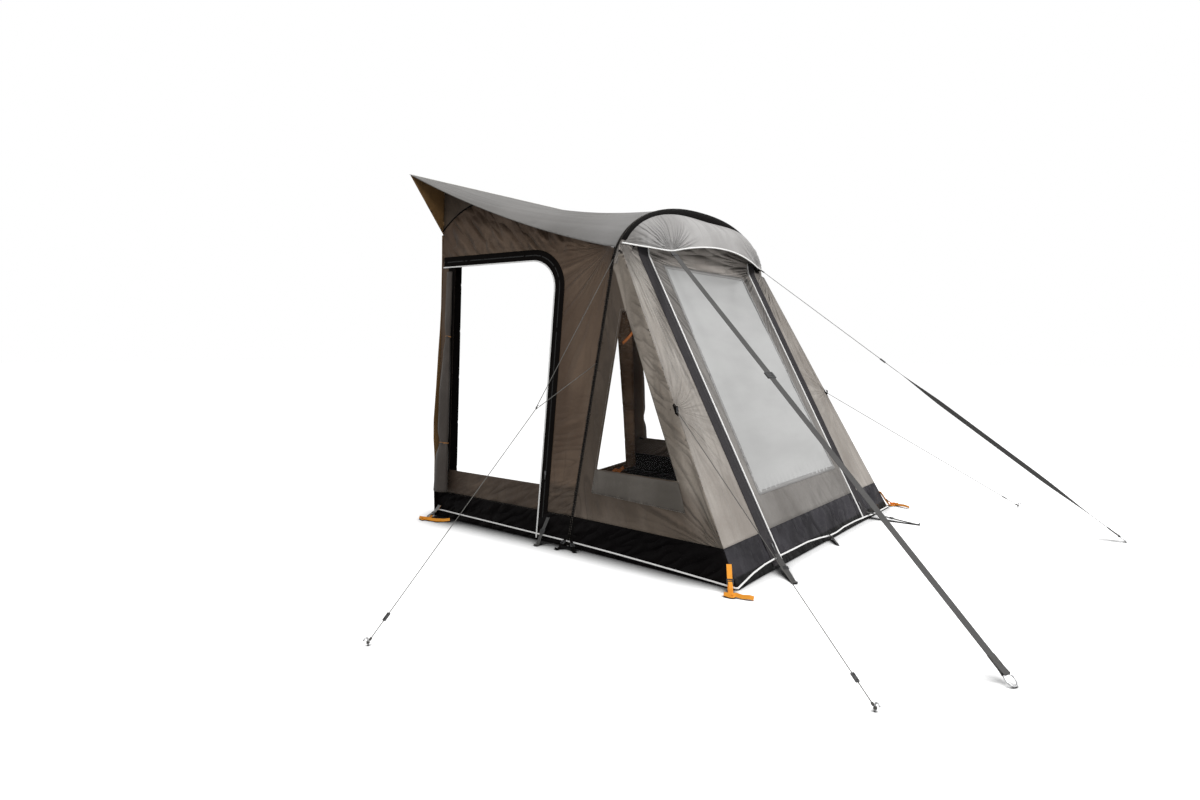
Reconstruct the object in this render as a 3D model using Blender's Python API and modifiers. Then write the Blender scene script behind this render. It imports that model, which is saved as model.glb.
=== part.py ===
"""Caravan porch awning held up by one inflatable arch.

Metres, +Z up. X runs along the caravan, and the awning stands in front of it, towards -Y.
Left is the -X side. The origin is on the ground, in the middle of the footprint.
Each sewn panel, strap and fitting is its own closed solid.
"""
import math

import bmesh
import bpy
from mathutils import Matrix, Vector

# Driving dimensions of the shell, measured from the caravan's side towards the front
RAIL_HEIGHT = 2.479
RAIL_HALF = 1.453
DEPTH = 2.523
REAR_FOOT_HALF = 1.256
REAR_HEAD_HALF = 1.166
REAR_HEAD_HEIGHT = 2.071
ARCH_FOOT_HALF = 1.231
ARCH_FOOT_OUT = 1.310
ARCH_CROWN_OUT = 1.508
SPRING_HALF = 0.997
SPRING_HEIGHT = 1.720
CROWN_HEIGHT = 2.244
ARCH_POWER_SHARE = 2.3
FRONT_FOOT_HALF = 1.254
CREASE_HALF = 0.978
CREASE_HEIGHT = 1.867
CREASE_OUT = 1.534
FRONT_SIDE_HEAD = 1.853
REAR_SIDE_HEAD = 1.903
ROOF_ARCH_HALF = 0.960
ROOF_SAG = 0.080
ROOF_EDGE_SAG = 0.062
ROOF_FOLD = 0.010
ROOF_FOLDS = 5
ROOF_SWEEP = math.pi / 2.6
ROOF_EDGE_POWER_SHARE = 4
CREASE_SHARE = 0.75
SKIRT_SIDE_SHARE = 0.25

# Cloth, seams and clearances
CLOTH = 0.004
PANE = 0.002
GAP = 0.0003
WELD = 0.00002
SKIRT_HEIGHT = 0.192
CUT_DEPTH = 0.40
CUT_SPAN = 10.0
OVERRUN = 0.03
SLAB_DEPTH = 0.12
SEAM_LAP = 0.003
PANEL_FOOT = SKIRT_HEIGHT + GAP - SEAM_LAP
SKIRT_REACH = SKIRT_HEIGHT + SEAM_LAP

# Arch: a gas-tight beam in a sleeve whose crest shows between the panels
BEAM_BORE_RADIUS = 0.0550
SLEEVE_WALL = 0.0030
SLEEVE_PROUD = 0.0060
SLEEVE_RADIUS = BEAM_BORE_RADIUS + SLEEVE_WALL
BEAM_RADIUS = BEAM_BORE_RADIUS - GAP
ARCH_INSET = SLEEVE_RADIUS - SLEEVE_PROUD
BEAM_FOOT_LIFT = 0.002
VALVE_HEIGHT = 0.52
VALVE_RADIUS = 0.021
VALVE_LENGTH = 0.016
CAP_RADIUS = 0.017
CAP_THICKNESS = 0.006
CAP_EAR = 0.008

# Doorway in each rear side panel
DOOR_REAR = 0.130
DOOR_FRONT = 1.035
DOOR_SILL = 0.360
DOOR_HEAD = 1.850
DOOR_CORNER = 0.200
DOOR_ZIP_WIDTH = 0.075
ZIP_THICKNESS = 0.003
ZIP_SINK = 0.002
DOOR_ZIP_FOOT = 0.012
DOOR_ZIP_REAR = 0.022

# Triangular window in each front side panel
TRI_FOOT = 0.510
TRI_APEX = 1.490
TRI_BACK_FOOT = 1.489
TRI_BACK_APEX = 1.575
TRI_FRONT_FOOT = 2.090
TRI_FRONT_APEX = 1.605

# Front window, centre panel and its two zips
WINDOW_FOOT = 0.380
WINDOW_HEAD = 1.815
WINDOW_FOOT_HALF = 0.610
WINDOW_HEAD_HALF = 0.572
CENTRE_HALF = 0.735
FRONT_ZIP_WIDTH = 0.062
FRONT_ZIP_FOOT = 0.012
FRONT_ZIP_HEAD = 1.840

# Visor over the front window
VISOR_POINT_HALF = 0.616
VISOR_POINT_OUT = 1.664
VISOR_POINT_HEIGHT = 1.898
VISOR_MIDDLE_RISE = 0.075
VISOR_MIDDLE_REACH = 0.040
VISOR_ROOT_HALF = 0.925
VISOR_ROOT_OUT = 0.014
VISOR_ROOT_SINK = 0.012
VISOR_END_HALF = 0.940
VISOR_END_OUT = 1.575
VISOR_END_HEIGHT = 1.912
VISOR_BULGE = 0.022
VISOR_SWEEP = math.pi / 2.4
VISOR_EDGE_POWER_SHARE = 4

# Wing gusset in the caravan's plane
GUSSET_FOOT = 2.085
GUSSET_CLEAR = 0.0010

# Draught pads against the caravan and the rolled doors
PAD_WIDTH = 0.172
PAD_THICKNESS = 0.035
PAD_TOP = 2.080
ROLL_FOOT = 0.205
ROLL_TOP = 1.815
ROLL_DEPTH = 0.108
ROLL_STAND = 0.074
ROLL_SINK = 0.006
ROLL_OUT = 0.064
ROLL_TOP_SHARE = 0.70
ROLL_FLUTE_SHARE = 0.07
ROLL_FLUTES = 4
ROLL_TWIST_SHARE = 3

# Keder bead on the rear edge of the roof
BEAD_RADIUS = 0.0060
BEAD_END = 0.020

# Storm straps from the visor's points to the ground
STRAP_WIDTH = 0.040
STRAP_THICKNESS = 0.0025
STRAP_LEFT_PEG = (-1.536, 3.840)
STRAP_RIGHT_PEG = (1.235, 4.060)
STRAP_LEFT_START = 0.0014
STRAP_RIGHT_START = 0.0001
BUCKLE_LEFT_RUN = 1.240
BUCKLE_RIGHT_RUN = 1.180
BUCKLE_BAR = 0.007
BUCKLE_WINDOW = 0.0125
BUCKLE_THICKNESS = 0.0095
BUCKLE_CLEAR = 0.0004
RING_RADIUS = 0.026
RING_WIRE = 0.0035
RING_LIFT = 0.0010

# Guy lines
GUY_RADIUS = 0.0020
SIDE_RING_HALF = 1.745
SIDE_RING_OUT = 1.523
SIDE_RING_HEIGHT = 0.920
SIDE_PEG_HALF = 2.878
SIDE_PEG_OUT = 1.648
SIDE_TOP_HEIGHT = 1.830
SIDE_TAB_HEIGHT = 1.170
CORNER_GUY_HEIGHT = 0.910
CORNER_GUY_SEAT_SHARE = 0.60
CORNER_LEFT_PEG = (-2.048, 3.485)
CORNER_RIGHT_PEG = (1.950, 3.329)
GUY_BEND = 0.009
TENSIONER_LENGTH = 0.040
TENSIONER_WIDTH = 0.016
TENSIONER_THICKNESS = 0.0085
TENSIONER_CLEAR = 0.0006
TENSIONER_RUN = 0.120
PEG_RADIUS = 0.0035
PEG_RISE = 0.034
PEG_HOOK = 0.018
PEG_TIE_HEIGHT = 0.012

# Corner pegging straps
CORNER_STRAP_WIDTH = 0.026
CORNER_STRAP_THICKNESS = 0.0035
CORNER_STRAP_RISE = 0.095
CORNER_STRAP_REACH = 0.100
CORNER_STRAP_FLAT = 0.050
REAR_STRAP_OUT = 0.040
CORNER_PEG_HEAD = 0.017
CORNER_PEG_HEIGHT = 0.020
CORNER_ASIDE_SHARE = 0.820
CORNER_AHEAD_SHARE = 0.572

# Zip sliders
SLIDER_LENGTH = 0.024
SLIDER_WIDTH = 0.014
SLIDER_THICKNESS = 0.006
PULL_LENGTH = 0.045
PULL_WIDTH = 0.010
PULL_THICKNESS = 0.0025
SLIDER_CLEAR = 0.0006
DOOR_SLIDER_START = 0.440
FRONT_SLIDER_START = 0.110

# Grid counts
ROOF_ACROSS = 24
ROOF_ALONG = 12
WALL_ACROSS = 8
WALL_UP = 8
FRONT_SIDE_ACROSS = 5
FRONT_SIDE_UP = 6
FRONT_ACROSS = 8
FRONT_UP = 8
VISOR_ACROSS = 24
VISOR_ALONG = 4
LEG_STEPS = 5
CROWN_STEPS = 22
TUBE_RESOLUTION = 4
ROLL_RINGS = 12
ROLL_SIDES = 14
SKIRT_ACROSS = 6
FRONT_SKIRT_ACROSS = 16
CORNER_ACROSS = 4
ROD_SIDES = 12
PAD_ACROSS = 2
PAD_UP = 4
RING_STEPS = 20
RING_SIDES = 6
ARC_STEPS = 6
GUY_STEPS = 8

# The frontmost point is a corner peg's head, so the caravan's plane is set to centre the footprint
CORNER_PEG_RUN = CORNER_STRAP_REACH + CORNER_STRAP_FLAT + GAP + CORNER_PEG_HEAD
FRONT_LEAN_SHARE = (DEPTH - CREASE_OUT) / CREASE_HEIGHT
CORNER_STRAP_OUT = DEPTH - FRONT_LEAN_SHARE * CORNER_STRAP_RISE
FRONT_REACH = CORNER_STRAP_OUT + CORNER_AHEAD_SHARE * CORNER_PEG_RUN + CORNER_PEG_HEAD
REAR_REACH = GAP + 2 * BEAD_RADIUS
CARAVAN_Y = (FRONT_REACH - REAR_REACH) / 2

COLLECTION_NAME = "caravan_awning"
CUTTER_NAME = "awning_cutters"


def clear_scene():
    for item in list(bpy.data.objects):
        bpy.data.objects.remove(item, do_unlink=True)
    for group in list(bpy.data.collections):
        bpy.data.collections.remove(group)


clear_scene()
PARTS = bpy.data.collections.new(COLLECTION_NAME)
CUTTERS = bpy.data.collections.new(CUTTER_NAME)
bpy.context.scene.collection.children.link(PARTS)
bpy.context.scene.collection.children.link(CUTTERS)


def material(name, colour, roughness, metallic=0.0):
    made = bpy.data.materials.new(name)
    made.use_nodes = True
    shader = made.node_tree.nodes["Principled BSDF"]
    shader.inputs["Base Color"].default_value = (*colour, 1.0)
    shader.inputs["Roughness"].default_value = roughness
    shader.inputs["Metallic"].default_value = metallic
    made.diffuse_color = (*colour, 1.0)
    return made


WALL_CLOTH = material("wall_cloth", (0.105, 0.080, 0.062), 0.75)
ROOF_CLOTH = material("roof_cloth", (0.200, 0.180, 0.155), 0.70)
FRONT_CLOTH = material("front_cloth", (0.190, 0.172, 0.150), 0.70)
BLACK_CLOTH = material("black_cloth", (0.012, 0.011, 0.011), 0.65)
CLEAR_FILM = material("clear_film", (0.450, 0.450, 0.430), 0.20)
WEBBING = material("webbing", (0.080, 0.078, 0.075), 0.80)
LINE = material("guy_line", (0.120, 0.115, 0.110), 0.75)
ORANGE = material("orange_strap", (0.850, 0.300, 0.030), 0.55)
BLACK_PLASTIC = material("black_plastic", (0.015, 0.015, 0.016), 0.40)
STEEL = material("steel", (0.550, 0.550, 0.560), 0.35, 1.0)
BEAM_SKIN = material("beam_skin", (0.150, 0.150, 0.160), 0.45)
BEAD_CLOTH = material("bead_cloth", (0.450, 0.440, 0.420), 0.60)


def place(out, x, z):
    """A point given by its distance out from the caravan's side."""
    return Vector((x, CARAVAN_Y - out, z))


def mix(a, b, share):
    return a + (b - a) * share


def link(item, group, mat=None):
    for old in list(item.users_collection):
        old.objects.unlink(item)
    group.objects.link(item)
    if group is CUTTERS:
        item.hide_render = True
        item.display_type = "WIRE"
    if mat is not None:
        item.data.materials.clear()
        item.data.materials.append(mat)
    return item


def mesh_item(name, bm, group, mat=None):
    mesh = bpy.data.meshes.new(name)
    bm.to_mesh(mesh)
    bm.free()
    return link(bpy.data.objects.new(name, mesh), group, mat)


def freeze(item):
    """Turn a curve or a modified object into a plain welded mesh of the same name."""
    graph = bpy.context.evaluated_depsgraph_get()
    mesh = bpy.data.meshes.new_from_object(item.evaluated_get(graph))
    bm = bmesh.new()
    bm.from_mesh(mesh)
    bmesh.ops.remove_doubles(bm, verts=bm.verts, dist=WELD)
    bmesh.ops.recalc_face_normals(bm, faces=bm.faces)
    bm.to_mesh(mesh)
    bm.free()
    name = item.name
    mat = item.data.materials[0] if item.data.materials else None
    group = item.users_collection[0]
    matrix = item.matrix_world.copy()
    bpy.data.objects.remove(item, do_unlink=True)
    made = bpy.data.objects.new(name, mesh)
    made.matrix_world = matrix
    return link(made, group, mat)


def surface(name, across, up, where, group, mat=None, thickness=CLOTH, offset=-1.0):
    """A grid laid on the surface where(a, b), a and b from 0 to 1, thickened by Solidify."""
    bm = bmesh.new()
    bmesh.ops.create_grid(bm, x_segments=across, y_segments=up, size=1.0)
    for vert in bm.verts:
        vert.co = where((vert.co.x + 1) / 2, (vert.co.y + 1) / 2)
    bmesh.ops.triangulate(bm, faces=bm.faces, quad_method="FIXED")
    item = mesh_item(name, bm, group, mat)
    solid = item.modifiers.new("thickness", "SOLIDIFY")
    solid.thickness = thickness
    solid.offset = offset
    solid.use_even_offset = True
    return item


def cut(item, cutter, operation="DIFFERENCE"):
    step = item.modifiers.new(operation.lower() + "_" + cutter.name, "BOOLEAN")
    step.operation = operation
    step.solver = "EXACT"
    step.object = cutter
    return item


def curve_tube(name, points, radius, group, mat=None, resolution=2):
    data = bpy.data.curves.new(name, "CURVE")
    data.dimensions = "3D"
    data.bevel_depth = radius
    data.bevel_resolution = resolution
    data.use_fill_caps = True
    spline = data.splines.new("POLY")
    spline.points.add(len(points) - 1)
    for slot, point in zip(spline.points, points):
        slot.co = (*point, 1.0)
    return link(bpy.data.objects.new(name, data), group, mat)


def prism(name, outline, turn, origin, half_depth, group=CUTTERS, mat=None):
    """A flat outline as a filled 2D curve, extruded both ways and turned into a mesh."""
    data = bpy.data.curves.new(name, "CURVE")
    data.dimensions = "2D"
    data.fill_mode = "BOTH"
    data.extrude = half_depth
    spline = data.splines.new("POLY")
    spline.points.add(len(outline) - 1)
    for slot, point in zip(spline.points, outline):
        slot.co = (*point, 0.0, 1.0)
    spline.use_cyclic_u = True
    item = link(bpy.data.objects.new(name, data), group, mat)
    item.matrix_world = Matrix.Translation(origin) @ turn
    return freeze(item)


def box(name, size, group, mat=None, bevel=0.0):
    bm = bmesh.new()
    bmesh.ops.create_cube(bm, size=1.0)
    bmesh.ops.scale(bm, vec=size, verts=bm.verts)
    item = mesh_item(name, bm, group, mat)
    if bevel:
        soft = item.modifiers.new("soft_edges", "BEVEL")
        soft.width = bevel
        soft.segments = 1
    return item


def rod(name, radius, length, group, mat=None):
    bm = bmesh.new()
    bmesh.ops.create_cone(bm, cap_ends=True, segments=ROD_SIDES, radius1=radius, radius2=radius, depth=length)
    return mesh_item(name, bm, group, mat)


def frame_matrix(origin, along, up):
    """Local X runs along the given direction and local Z stands as near to up as it can."""
    x_axis = along.normalized()
    y_axis = up.cross(x_axis).normalized()
    z_axis = x_axis.cross(y_axis)
    turn = Matrix((x_axis, y_axis, z_axis)).transposed().to_4x4()
    return Matrix.Translation(origin) @ turn


def rear_half(z):
    return REAR_FOOT_HALF - (REAR_FOOT_HALF - REAR_HEAD_HALF) * z / REAR_HEAD_HEIGHT


def leg_half(z):
    return ARCH_FOOT_HALF - (ARCH_FOOT_HALF - SPRING_HALF) * z / SPRING_HEIGHT


def arch_out(z):
    return ARCH_FOOT_OUT + (ARCH_CROWN_OUT - ARCH_FOOT_OUT) * z / CROWN_HEIGHT


def arch_height(x):
    share = min(abs(x) / SPRING_HALF, 1.0) ** ARCH_POWER_SHARE
    return SPRING_HEIGHT + (CROWN_HEIGHT - SPRING_HEIGHT) * (1 - share) ** (1 / ARCH_POWER_SHARE)


def corner_half(z):
    return FRONT_FOOT_HALF - (FRONT_FOOT_HALF - CREASE_HALF) * z / CREASE_HEIGHT


def front_out(z):
    return DEPTH - (DEPTH - CREASE_OUT) * z / CREASE_HEIGHT


def wall_half(out, z):
    """Half width of the rear side panel's outer face."""
    share = out / arch_out(z)
    return mix(rear_half(z), leg_half(z), share)


def side_half(out, z):
    """Half width of the front side panel's outer face."""
    share = (out - arch_out(z)) / (front_out(z) - arch_out(z))
    return mix(leg_half(z), corner_half(z), share)


def arch_line(steps_leg, steps_crown, inset, extend):
    """The arch's line from the left foot to the right one, moved inwards by inset."""
    outer = []
    for step in range(steps_leg):
        z = SPRING_HEIGHT * step / steps_leg
        outer.append((-leg_half(z), z))
    for step in range(steps_crown + 1):
        angle = math.pi * (1 - step / steps_crown)
        x = SPRING_HALF * math.copysign(abs(math.cos(angle)) ** (2 / ARCH_POWER_SHARE), math.cos(angle))
        z = SPRING_HEIGHT + (CROWN_HEIGHT - SPRING_HEIGHT) * abs(math.sin(angle)) ** (2 / ARCH_POWER_SHARE)
        outer.append((x, z))
    for step in range(steps_leg - 1, -1, -1):
        z = SPRING_HEIGHT * step / steps_leg
        outer.append((leg_half(z), z))
    line = []
    for index, (x, z) in enumerate(outer):
        before = outer[max(index - 1, 0)]
        after = outer[min(index + 1, len(outer) - 1)]
        run_x = after[0] - before[0]
        run_z = after[1] - before[1]
        length = math.hypot(run_x, run_z)
        line.append((x + run_z / length * inset, z - run_x / length * inset))
    points = [place(arch_out(z), x, z) for x, z in line]
    first = (points[0] - points[1]).normalized() * extend
    last = (points[-1] - points[-2]).normalized() * extend
    return [points[0] + first] + points[1:-1] + [points[-1] + last]


def arch_tube(name, radius, group, mat=None):
    line = arch_line(LEG_STEPS, CROWN_STEPS, ARCH_INSET, OVERRUN)
    return freeze(curve_tube(name, line, radius, group, mat, TUBE_RESOLUTION))


def ground_block(name, top):
    item = box(name, (CUT_SPAN, CUT_SPAN, CUT_DEPTH), CUTTERS)
    item.location = (0, 0, top - CUT_DEPTH / 2)
    return item


def build_arch():
    below = ground_block("ground_cutter", 0.0)
    lifted = ground_block("beam_ground_cutter", BEAM_FOOT_LIFT)
    sleeve = arch_tube("beam_sleeve", SLEEVE_RADIUS, PARTS, BLACK_CLOTH)
    bore = freeze(curve_tube("sleeve_bore", arch_line(LEG_STEPS, CROWN_STEPS, ARCH_INSET, 2 * OVERRUN),
                             BEAM_BORE_RADIUS, CUTTERS, None, TUBE_RESOLUTION))
    beam = arch_tube("air_beam", BEAM_RADIUS, PARTS, BEAM_SKIN)
    clear = freeze(curve_tube("sleeve_clearance", arch_line(LEG_STEPS, CROWN_STEPS, ARCH_INSET, 2 * OVERRUN),
                              SLEEVE_RADIUS + GAP, CUTTERS, None, TUBE_RESOLUTION))
    cut(sleeve, bore)
    cut(sleeve, below)
    cut(beam, lifted)
    return clear, below


def roof_point(a, b):
    """a runs from the left edge to the right, b from the rail to the arch."""
    spread = math.sin((2 * a - 1) * ROOF_SWEEP) / math.sin(ROOF_SWEEP)
    rail = place(0, RAIL_HALF * spread, RAIL_HEIGHT)
    x = ROOF_ARCH_HALF * spread
    z = arch_height(x)
    arch = place(arch_out(z), x, z)
    point = rail.lerp(arch, b)
    edge = min(abs(spread), 1.0) ** ROOF_EDGE_POWER_SHARE
    sag = mix(ROOF_SAG, ROOF_EDGE_SAG, edge) * 4 * b * (1 - b)
    fold = ROOF_FOLD * math.sin(spread * math.pi * ROOF_FOLDS) * math.sin(math.pi * b) * (1 - edge)
    return point - Vector((0, 0, sag + fold))


def front_column(bottom_half, crease_half, b):
    """A column of the front: the mud skirt's seam, the crease under the visor, then the arch."""
    foot = place(DEPTH, bottom_half, 0)
    crease = place(CREASE_OUT, crease_half, CREASE_HEIGHT)
    z = arch_height(crease_half)
    arch = place(arch_out(z), crease_half, z)
    if b <= CREASE_SHARE:
        return foot.lerp(crease, mix(PANEL_FOOT / CREASE_HEIGHT, 1, b / CREASE_SHARE))
    return crease.lerp(arch, (b - CREASE_SHARE) / (1 - CREASE_SHARE))


def slab_offset(inward, outward):
    """Solidify's offset for a slab that runs inward behind the surface and outward before it."""
    return (outward - inward) / (outward + inward)


def make_cutters(clear, below):
    inward = CLOTH + GAP

    def roof_wide(a, b):
        columns = ROOF_ACROSS + 2
        return roof_point((a * columns - 1) / ROOF_ACROSS, b)

    roof = reverse(surface("roof_slab", ROOF_ACROSS + 2, ROOF_ALONG, roof_wide, CUTTERS, None,
                           CUT_DEPTH + inward, slab_offset(inward, CUT_DEPTH)))

    def front_wide(a, b):
        x = (2 * a - 1) * (RAIL_HALF + OVERRUN)
        z = mix(-OVERRUN, CREASE_HEIGHT + OVERRUN, b)
        return place(front_out(z), x, z)

    front = surface("front_slab", 1, 1, front_wide, CUTTERS, None, CUT_DEPTH + inward,
                    slab_offset(inward, CUT_DEPTH))
    skirts = ground_block("skirt_zone_cutter", SKIRT_HEIGHT + GAP)
    panels = ground_block("panel_zone_cutter", SKIRT_HEIGHT + CUT_DEPTH)
    caravan = box("caravan_cutter", (CUT_SPAN, CUT_DEPTH, CUT_SPAN), CUTTERS)
    caravan.location = place(-CUT_DEPTH / 2, 0, RAIL_HEIGHT)
    return {"sleeve": clear, "roof": roof, "front": front, "ground": below, "caravan": caravan,
            "skirts": skirts, "panels": panels}


def side_word(side):
    """Sides are -1 on the left and +1 on the right."""
    return "left" if side < 0 else "right"


def reverse(item):
    """Turn a surface's outer side over before it is thickened."""
    bm = bmesh.new()
    bm.from_mesh(item.data)
    bmesh.ops.reverse_faces(bm, faces=bm.faces)
    bm.to_mesh(item.data)
    bm.free()
    return item


def flip(item, side):
    """Surfaces are wound for the left, so the right one is turned the right way out."""
    return reverse(item) if side > 0 else item


def side_prism(name, outline):
    """An outline of (out, height) pairs run right across the awning."""
    turned = Matrix(((0, 0, 1), (1, 0, 0), (0, 1, 0))).to_4x4()
    flat = [(CARAVAN_Y - out, z) for out, z in outline]
    return prism(name, flat, turned, Vector((0, 0, 0)), RAIL_HALF + CUT_DEPTH)


def front_prism(name, outline):
    """An outline of (x, height) pairs run through the front panel."""
    turned = Matrix(((1, 0, 0), (0, 0, -1), (0, 1, 0))).to_4x4()
    return prism(name, outline, turned, Vector((0, CARAVAN_Y - DEPTH, 0)), DEPTH)


def door_edge(grow):
    """The doorway's top front corner as (out, height) pairs, grow outside the opening."""
    points = []
    for step in range(ARC_STEPS + 1):
        angle = math.pi / 2 * step / ARC_STEPS
        points.append((DOOR_FRONT - DOOR_CORNER + (DOOR_CORNER + grow) * math.cos(angle),
                       DOOR_HEAD - DOOR_CORNER + (DOOR_CORNER + grow) * math.sin(angle)))
    return points


def door_outline():
    return [(DOOR_REAR, DOOR_SILL), (DOOR_FRONT, DOOR_SILL), *door_edge(0), (DOOR_REAR, DOOR_HEAD)]


def build_roof(cutters):
    roof = reverse(surface("roof_panel", ROOF_ACROSS, ROOF_ALONG, roof_point, PARTS, ROOF_CLOTH))
    cut(roof, cutters["sleeve"])
    cut(roof, cutters["caravan"])
    bead_at = place(-(GAP + BEAD_RADIUS), 0, RAIL_HEIGHT - CLOTH / 2)
    bead = rod("rail_bead", BEAD_RADIUS, 2 * (RAIL_HALF - BEAD_END), PARTS, BEAD_CLOTH)
    bead.rotation_euler = (0, math.pi / 2, 0)
    bead.location = bead_at


def build_side(side, cutters, door_cut, tri_cut, tri_pane_cut):
    word = side_word(side)

    def rear_wall(a, b):
        z = mix(PANEL_FOOT, mix(RAIL_HEIGHT - OVERRUN, REAR_SIDE_HEAD, a), b)
        out = arch_out(z) * a
        return place(out, side * wall_half(out, z), z)

    rear = flip(surface("rear_side_panel_" + word, WALL_ACROSS, WALL_UP, rear_wall, PARTS, WALL_CLOTH), side)
    cut(rear, cutters["roof"])
    cut(rear, cutters["sleeve"])
    cut(rear, cutters["skirts"])
    cut(rear, door_cut)

    def front_wall(a, b):
        z = mix(PANEL_FOOT, FRONT_SIDE_HEAD, b)
        out = mix(arch_out(z), front_out(z), a)
        return place(out, side * side_half(out, z), z)

    def front_side(name, mat):
        return flip(surface(name, FRONT_SIDE_ACROSS, FRONT_SIDE_UP, front_wall, PARTS, mat), side)

    front = front_side("front_side_panel_" + word, WALL_CLOTH)
    cut(front, cutters["sleeve"])
    cut(front, cutters["front"])
    cut(front, cutters["skirts"])
    cut(front, tri_cut)
    pane = front_side("side_window_" + word, CLEAR_FILM)
    pane.modifiers["thickness"].thickness = PANE
    cut(pane, tri_pane_cut, "INTERSECT")

    def rear_skirt(a, b):
        z = SKIRT_REACH * b
        out = arch_out(z) * a
        return place(out, side * wall_half(out, z), z)

    skirt = flip(surface("rear_mud_skirt_" + word, SKIRT_ACROSS, 1, rear_skirt, PARTS, BLACK_CLOTH), side)
    cut(skirt, cutters["sleeve"])
    cut(skirt, cutters["ground"])
    cut(skirt, cutters["panels"])

    def slabs(label, inward, outward):
        made = []
        for part, across, up, where in (("wall", WALL_ACROSS, WALL_UP, rear_wall),
                                        ("skirt", SKIRT_ACROSS, 1, rear_skirt)):
            made.append(flip(surface(part + label + word, across, up, where, CUTTERS, None,
                                     inward + outward, slab_offset(inward, outward)), side))
        return made

    outer = slabs("_outer_slab_", SLAB_DEPTH, GAP)
    inner = slabs("_inner_slab_", CLOTH + GAP, SLAB_DEPTH)
    build_door_zip(side, word, outer)
    build_rolled_door(side, word, outer)
    build_gusset(side, word, cutters)
    build_pad(side, word, inner)


def build_door_zip(side, word, outer):
    inside = [(DOOR_ZIP_REAR, DOOR_HEAD), (mix(DOOR_ZIP_REAR, DOOR_FRONT - DOOR_CORNER, 0.5), DOOR_HEAD)]
    outside = [(out, DOOR_HEAD + DOOR_ZIP_WIDTH) for out, z in inside]
    inside += reversed(door_edge(0))
    outside += reversed(door_edge(DOOR_ZIP_WIDTH))
    straight = DOOR_HEAD - DOOR_CORNER
    for step in range(1, WALL_UP + 1):
        z = mix(straight, DOOR_ZIP_FOOT, step / WALL_UP)
        inside.append((DOOR_FRONT, z))
        outside.append((DOOR_FRONT + DOOR_ZIP_WIDTH, z))

    def band(a, b):
        index = round(a * (len(inside) - 1))
        out = mix(inside[index][0], outside[index][0], b)
        z = mix(inside[index][1], outside[index][1], b)
        return place(out, side * (wall_half(out, z) - ZIP_SINK), z)

    item = surface("door_zip_" + word, len(inside) - 1, 1, band, PARTS, BLACK_CLOTH,
                   ZIP_THICKNESS + ZIP_SINK, 1.0)
    flip(item, side)
    for slab in outer:
        cut(item, slab)
    out = DOOR_FRONT + DOOR_ZIP_WIDTH / 2
    low = place(out, side * wall_half(out, DOOR_SLIDER_START), DOOR_SLIDER_START)
    high = place(out, side * wall_half(out, straight), straight)
    along = (high - low).normalized()
    away = along.cross(Vector((0, 1, 0))).normalized() * -side
    stand = GAP + ZIP_THICKNESS + SLIDER_CLEAR
    zip_slider("door_zip_slider_" + word, low + away * stand, along, away)


def zip_slider(name, seat, along, away):
    """A slider body standing on seat, with its pull hanging back along the zip."""
    turn = frame_matrix(seat + away * SLIDER_THICKNESS / 2, along, away)
    body = box(name, (SLIDER_LENGTH, SLIDER_WIDTH, SLIDER_THICKNESS), PARTS, BLACK_PLASTIC)
    pull = box(name + "_pull", (PULL_LENGTH, PULL_WIDTH, PULL_THICKNESS), CUTTERS)
    body.matrix_world = turn
    rise = (SLIDER_THICKNESS - PULL_THICKNESS / 2) / 2
    pull.matrix_world = turn @ Matrix.Translation((-PULL_LENGTH / 2, 0, rise))
    return cut(body, pull, "UNION")


def loft(name, rings, group, mat=None):
    """Closed rings of unlike sections, joined in order and capped at both ends."""
    bm = bmesh.new()
    rows = [[bm.verts.new(point) for point in ring] for ring in rings]
    count = len(rows[0])
    for low, high in zip(rows, rows[1:]):
        for index in range(count):
            after = (index + 1) % count
            bm.faces.new((low[index], low[after], high[after], high[index]))
    bm.faces.new(list(reversed(rows[0])))
    bm.faces.new(rows[-1])
    bmesh.ops.recalc_face_normals(bm, faces=bm.faces)
    return mesh_item(name, bm, group, mat)


def build_rolled_door(side, word, outer):
    rings = []
    for step in range(ROLL_RINGS + 1):
        share = step / ROLL_RINGS
        z = mix(ROLL_FOOT, ROLL_TOP, share)
        size = mix(1, ROLL_TOP_SHARE, share)
        if step in (0, ROLL_RINGS):
            size *= ROLL_TOP_SHARE
        half = wall_half(ROLL_OUT, z) - ROLL_SINK
        ring = []
        for index in range(ROLL_SIDES):
            angle = 2 * math.pi * index / ROLL_SIDES
            flute = 1 + ROLL_FLUTE_SHARE * math.sin(ROLL_FLUTES * angle + ROLL_TWIST_SHARE * share)
            out = ROLL_OUT + ROLL_DEPTH / 2 * size * flute * math.cos(angle)
            stand = ROLL_STAND / 2 * size * (1 + flute * math.sin(angle))
            ring.append(place(out, side * (half + stand), z))
        rings.append(ring)
    item = loft("rolled_door_" + word, rings, PARTS, WALL_CLOTH)
    for slab in outer:
        cut(item, slab)


def build_gusset(side, word, cutters):
    root = rear_half(GUSSET_FOOT) + GUSSET_CLEAR
    head = RAIL_HEIGHT - CLOTH / 2
    tip = RAIL_HALF - CLOTH
    outline = [(side * tip, RAIL_HEIGHT - CLOTH), (side * root, GUSSET_FOOT),
               (side * (rear_half(head) + GUSSET_CLEAR), head), (side * tip, head)]
    turned = Matrix(((1, 0, 0), (0, 0, -1), (0, 1, 0))).to_4x4()
    item = prism("wing_gusset_" + word, outline, turned, place(CLOTH / 2, 0, 0), CLOTH / 2, PARTS, ROOF_CLOTH)
    cut(item, cutters["roof"])


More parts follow.
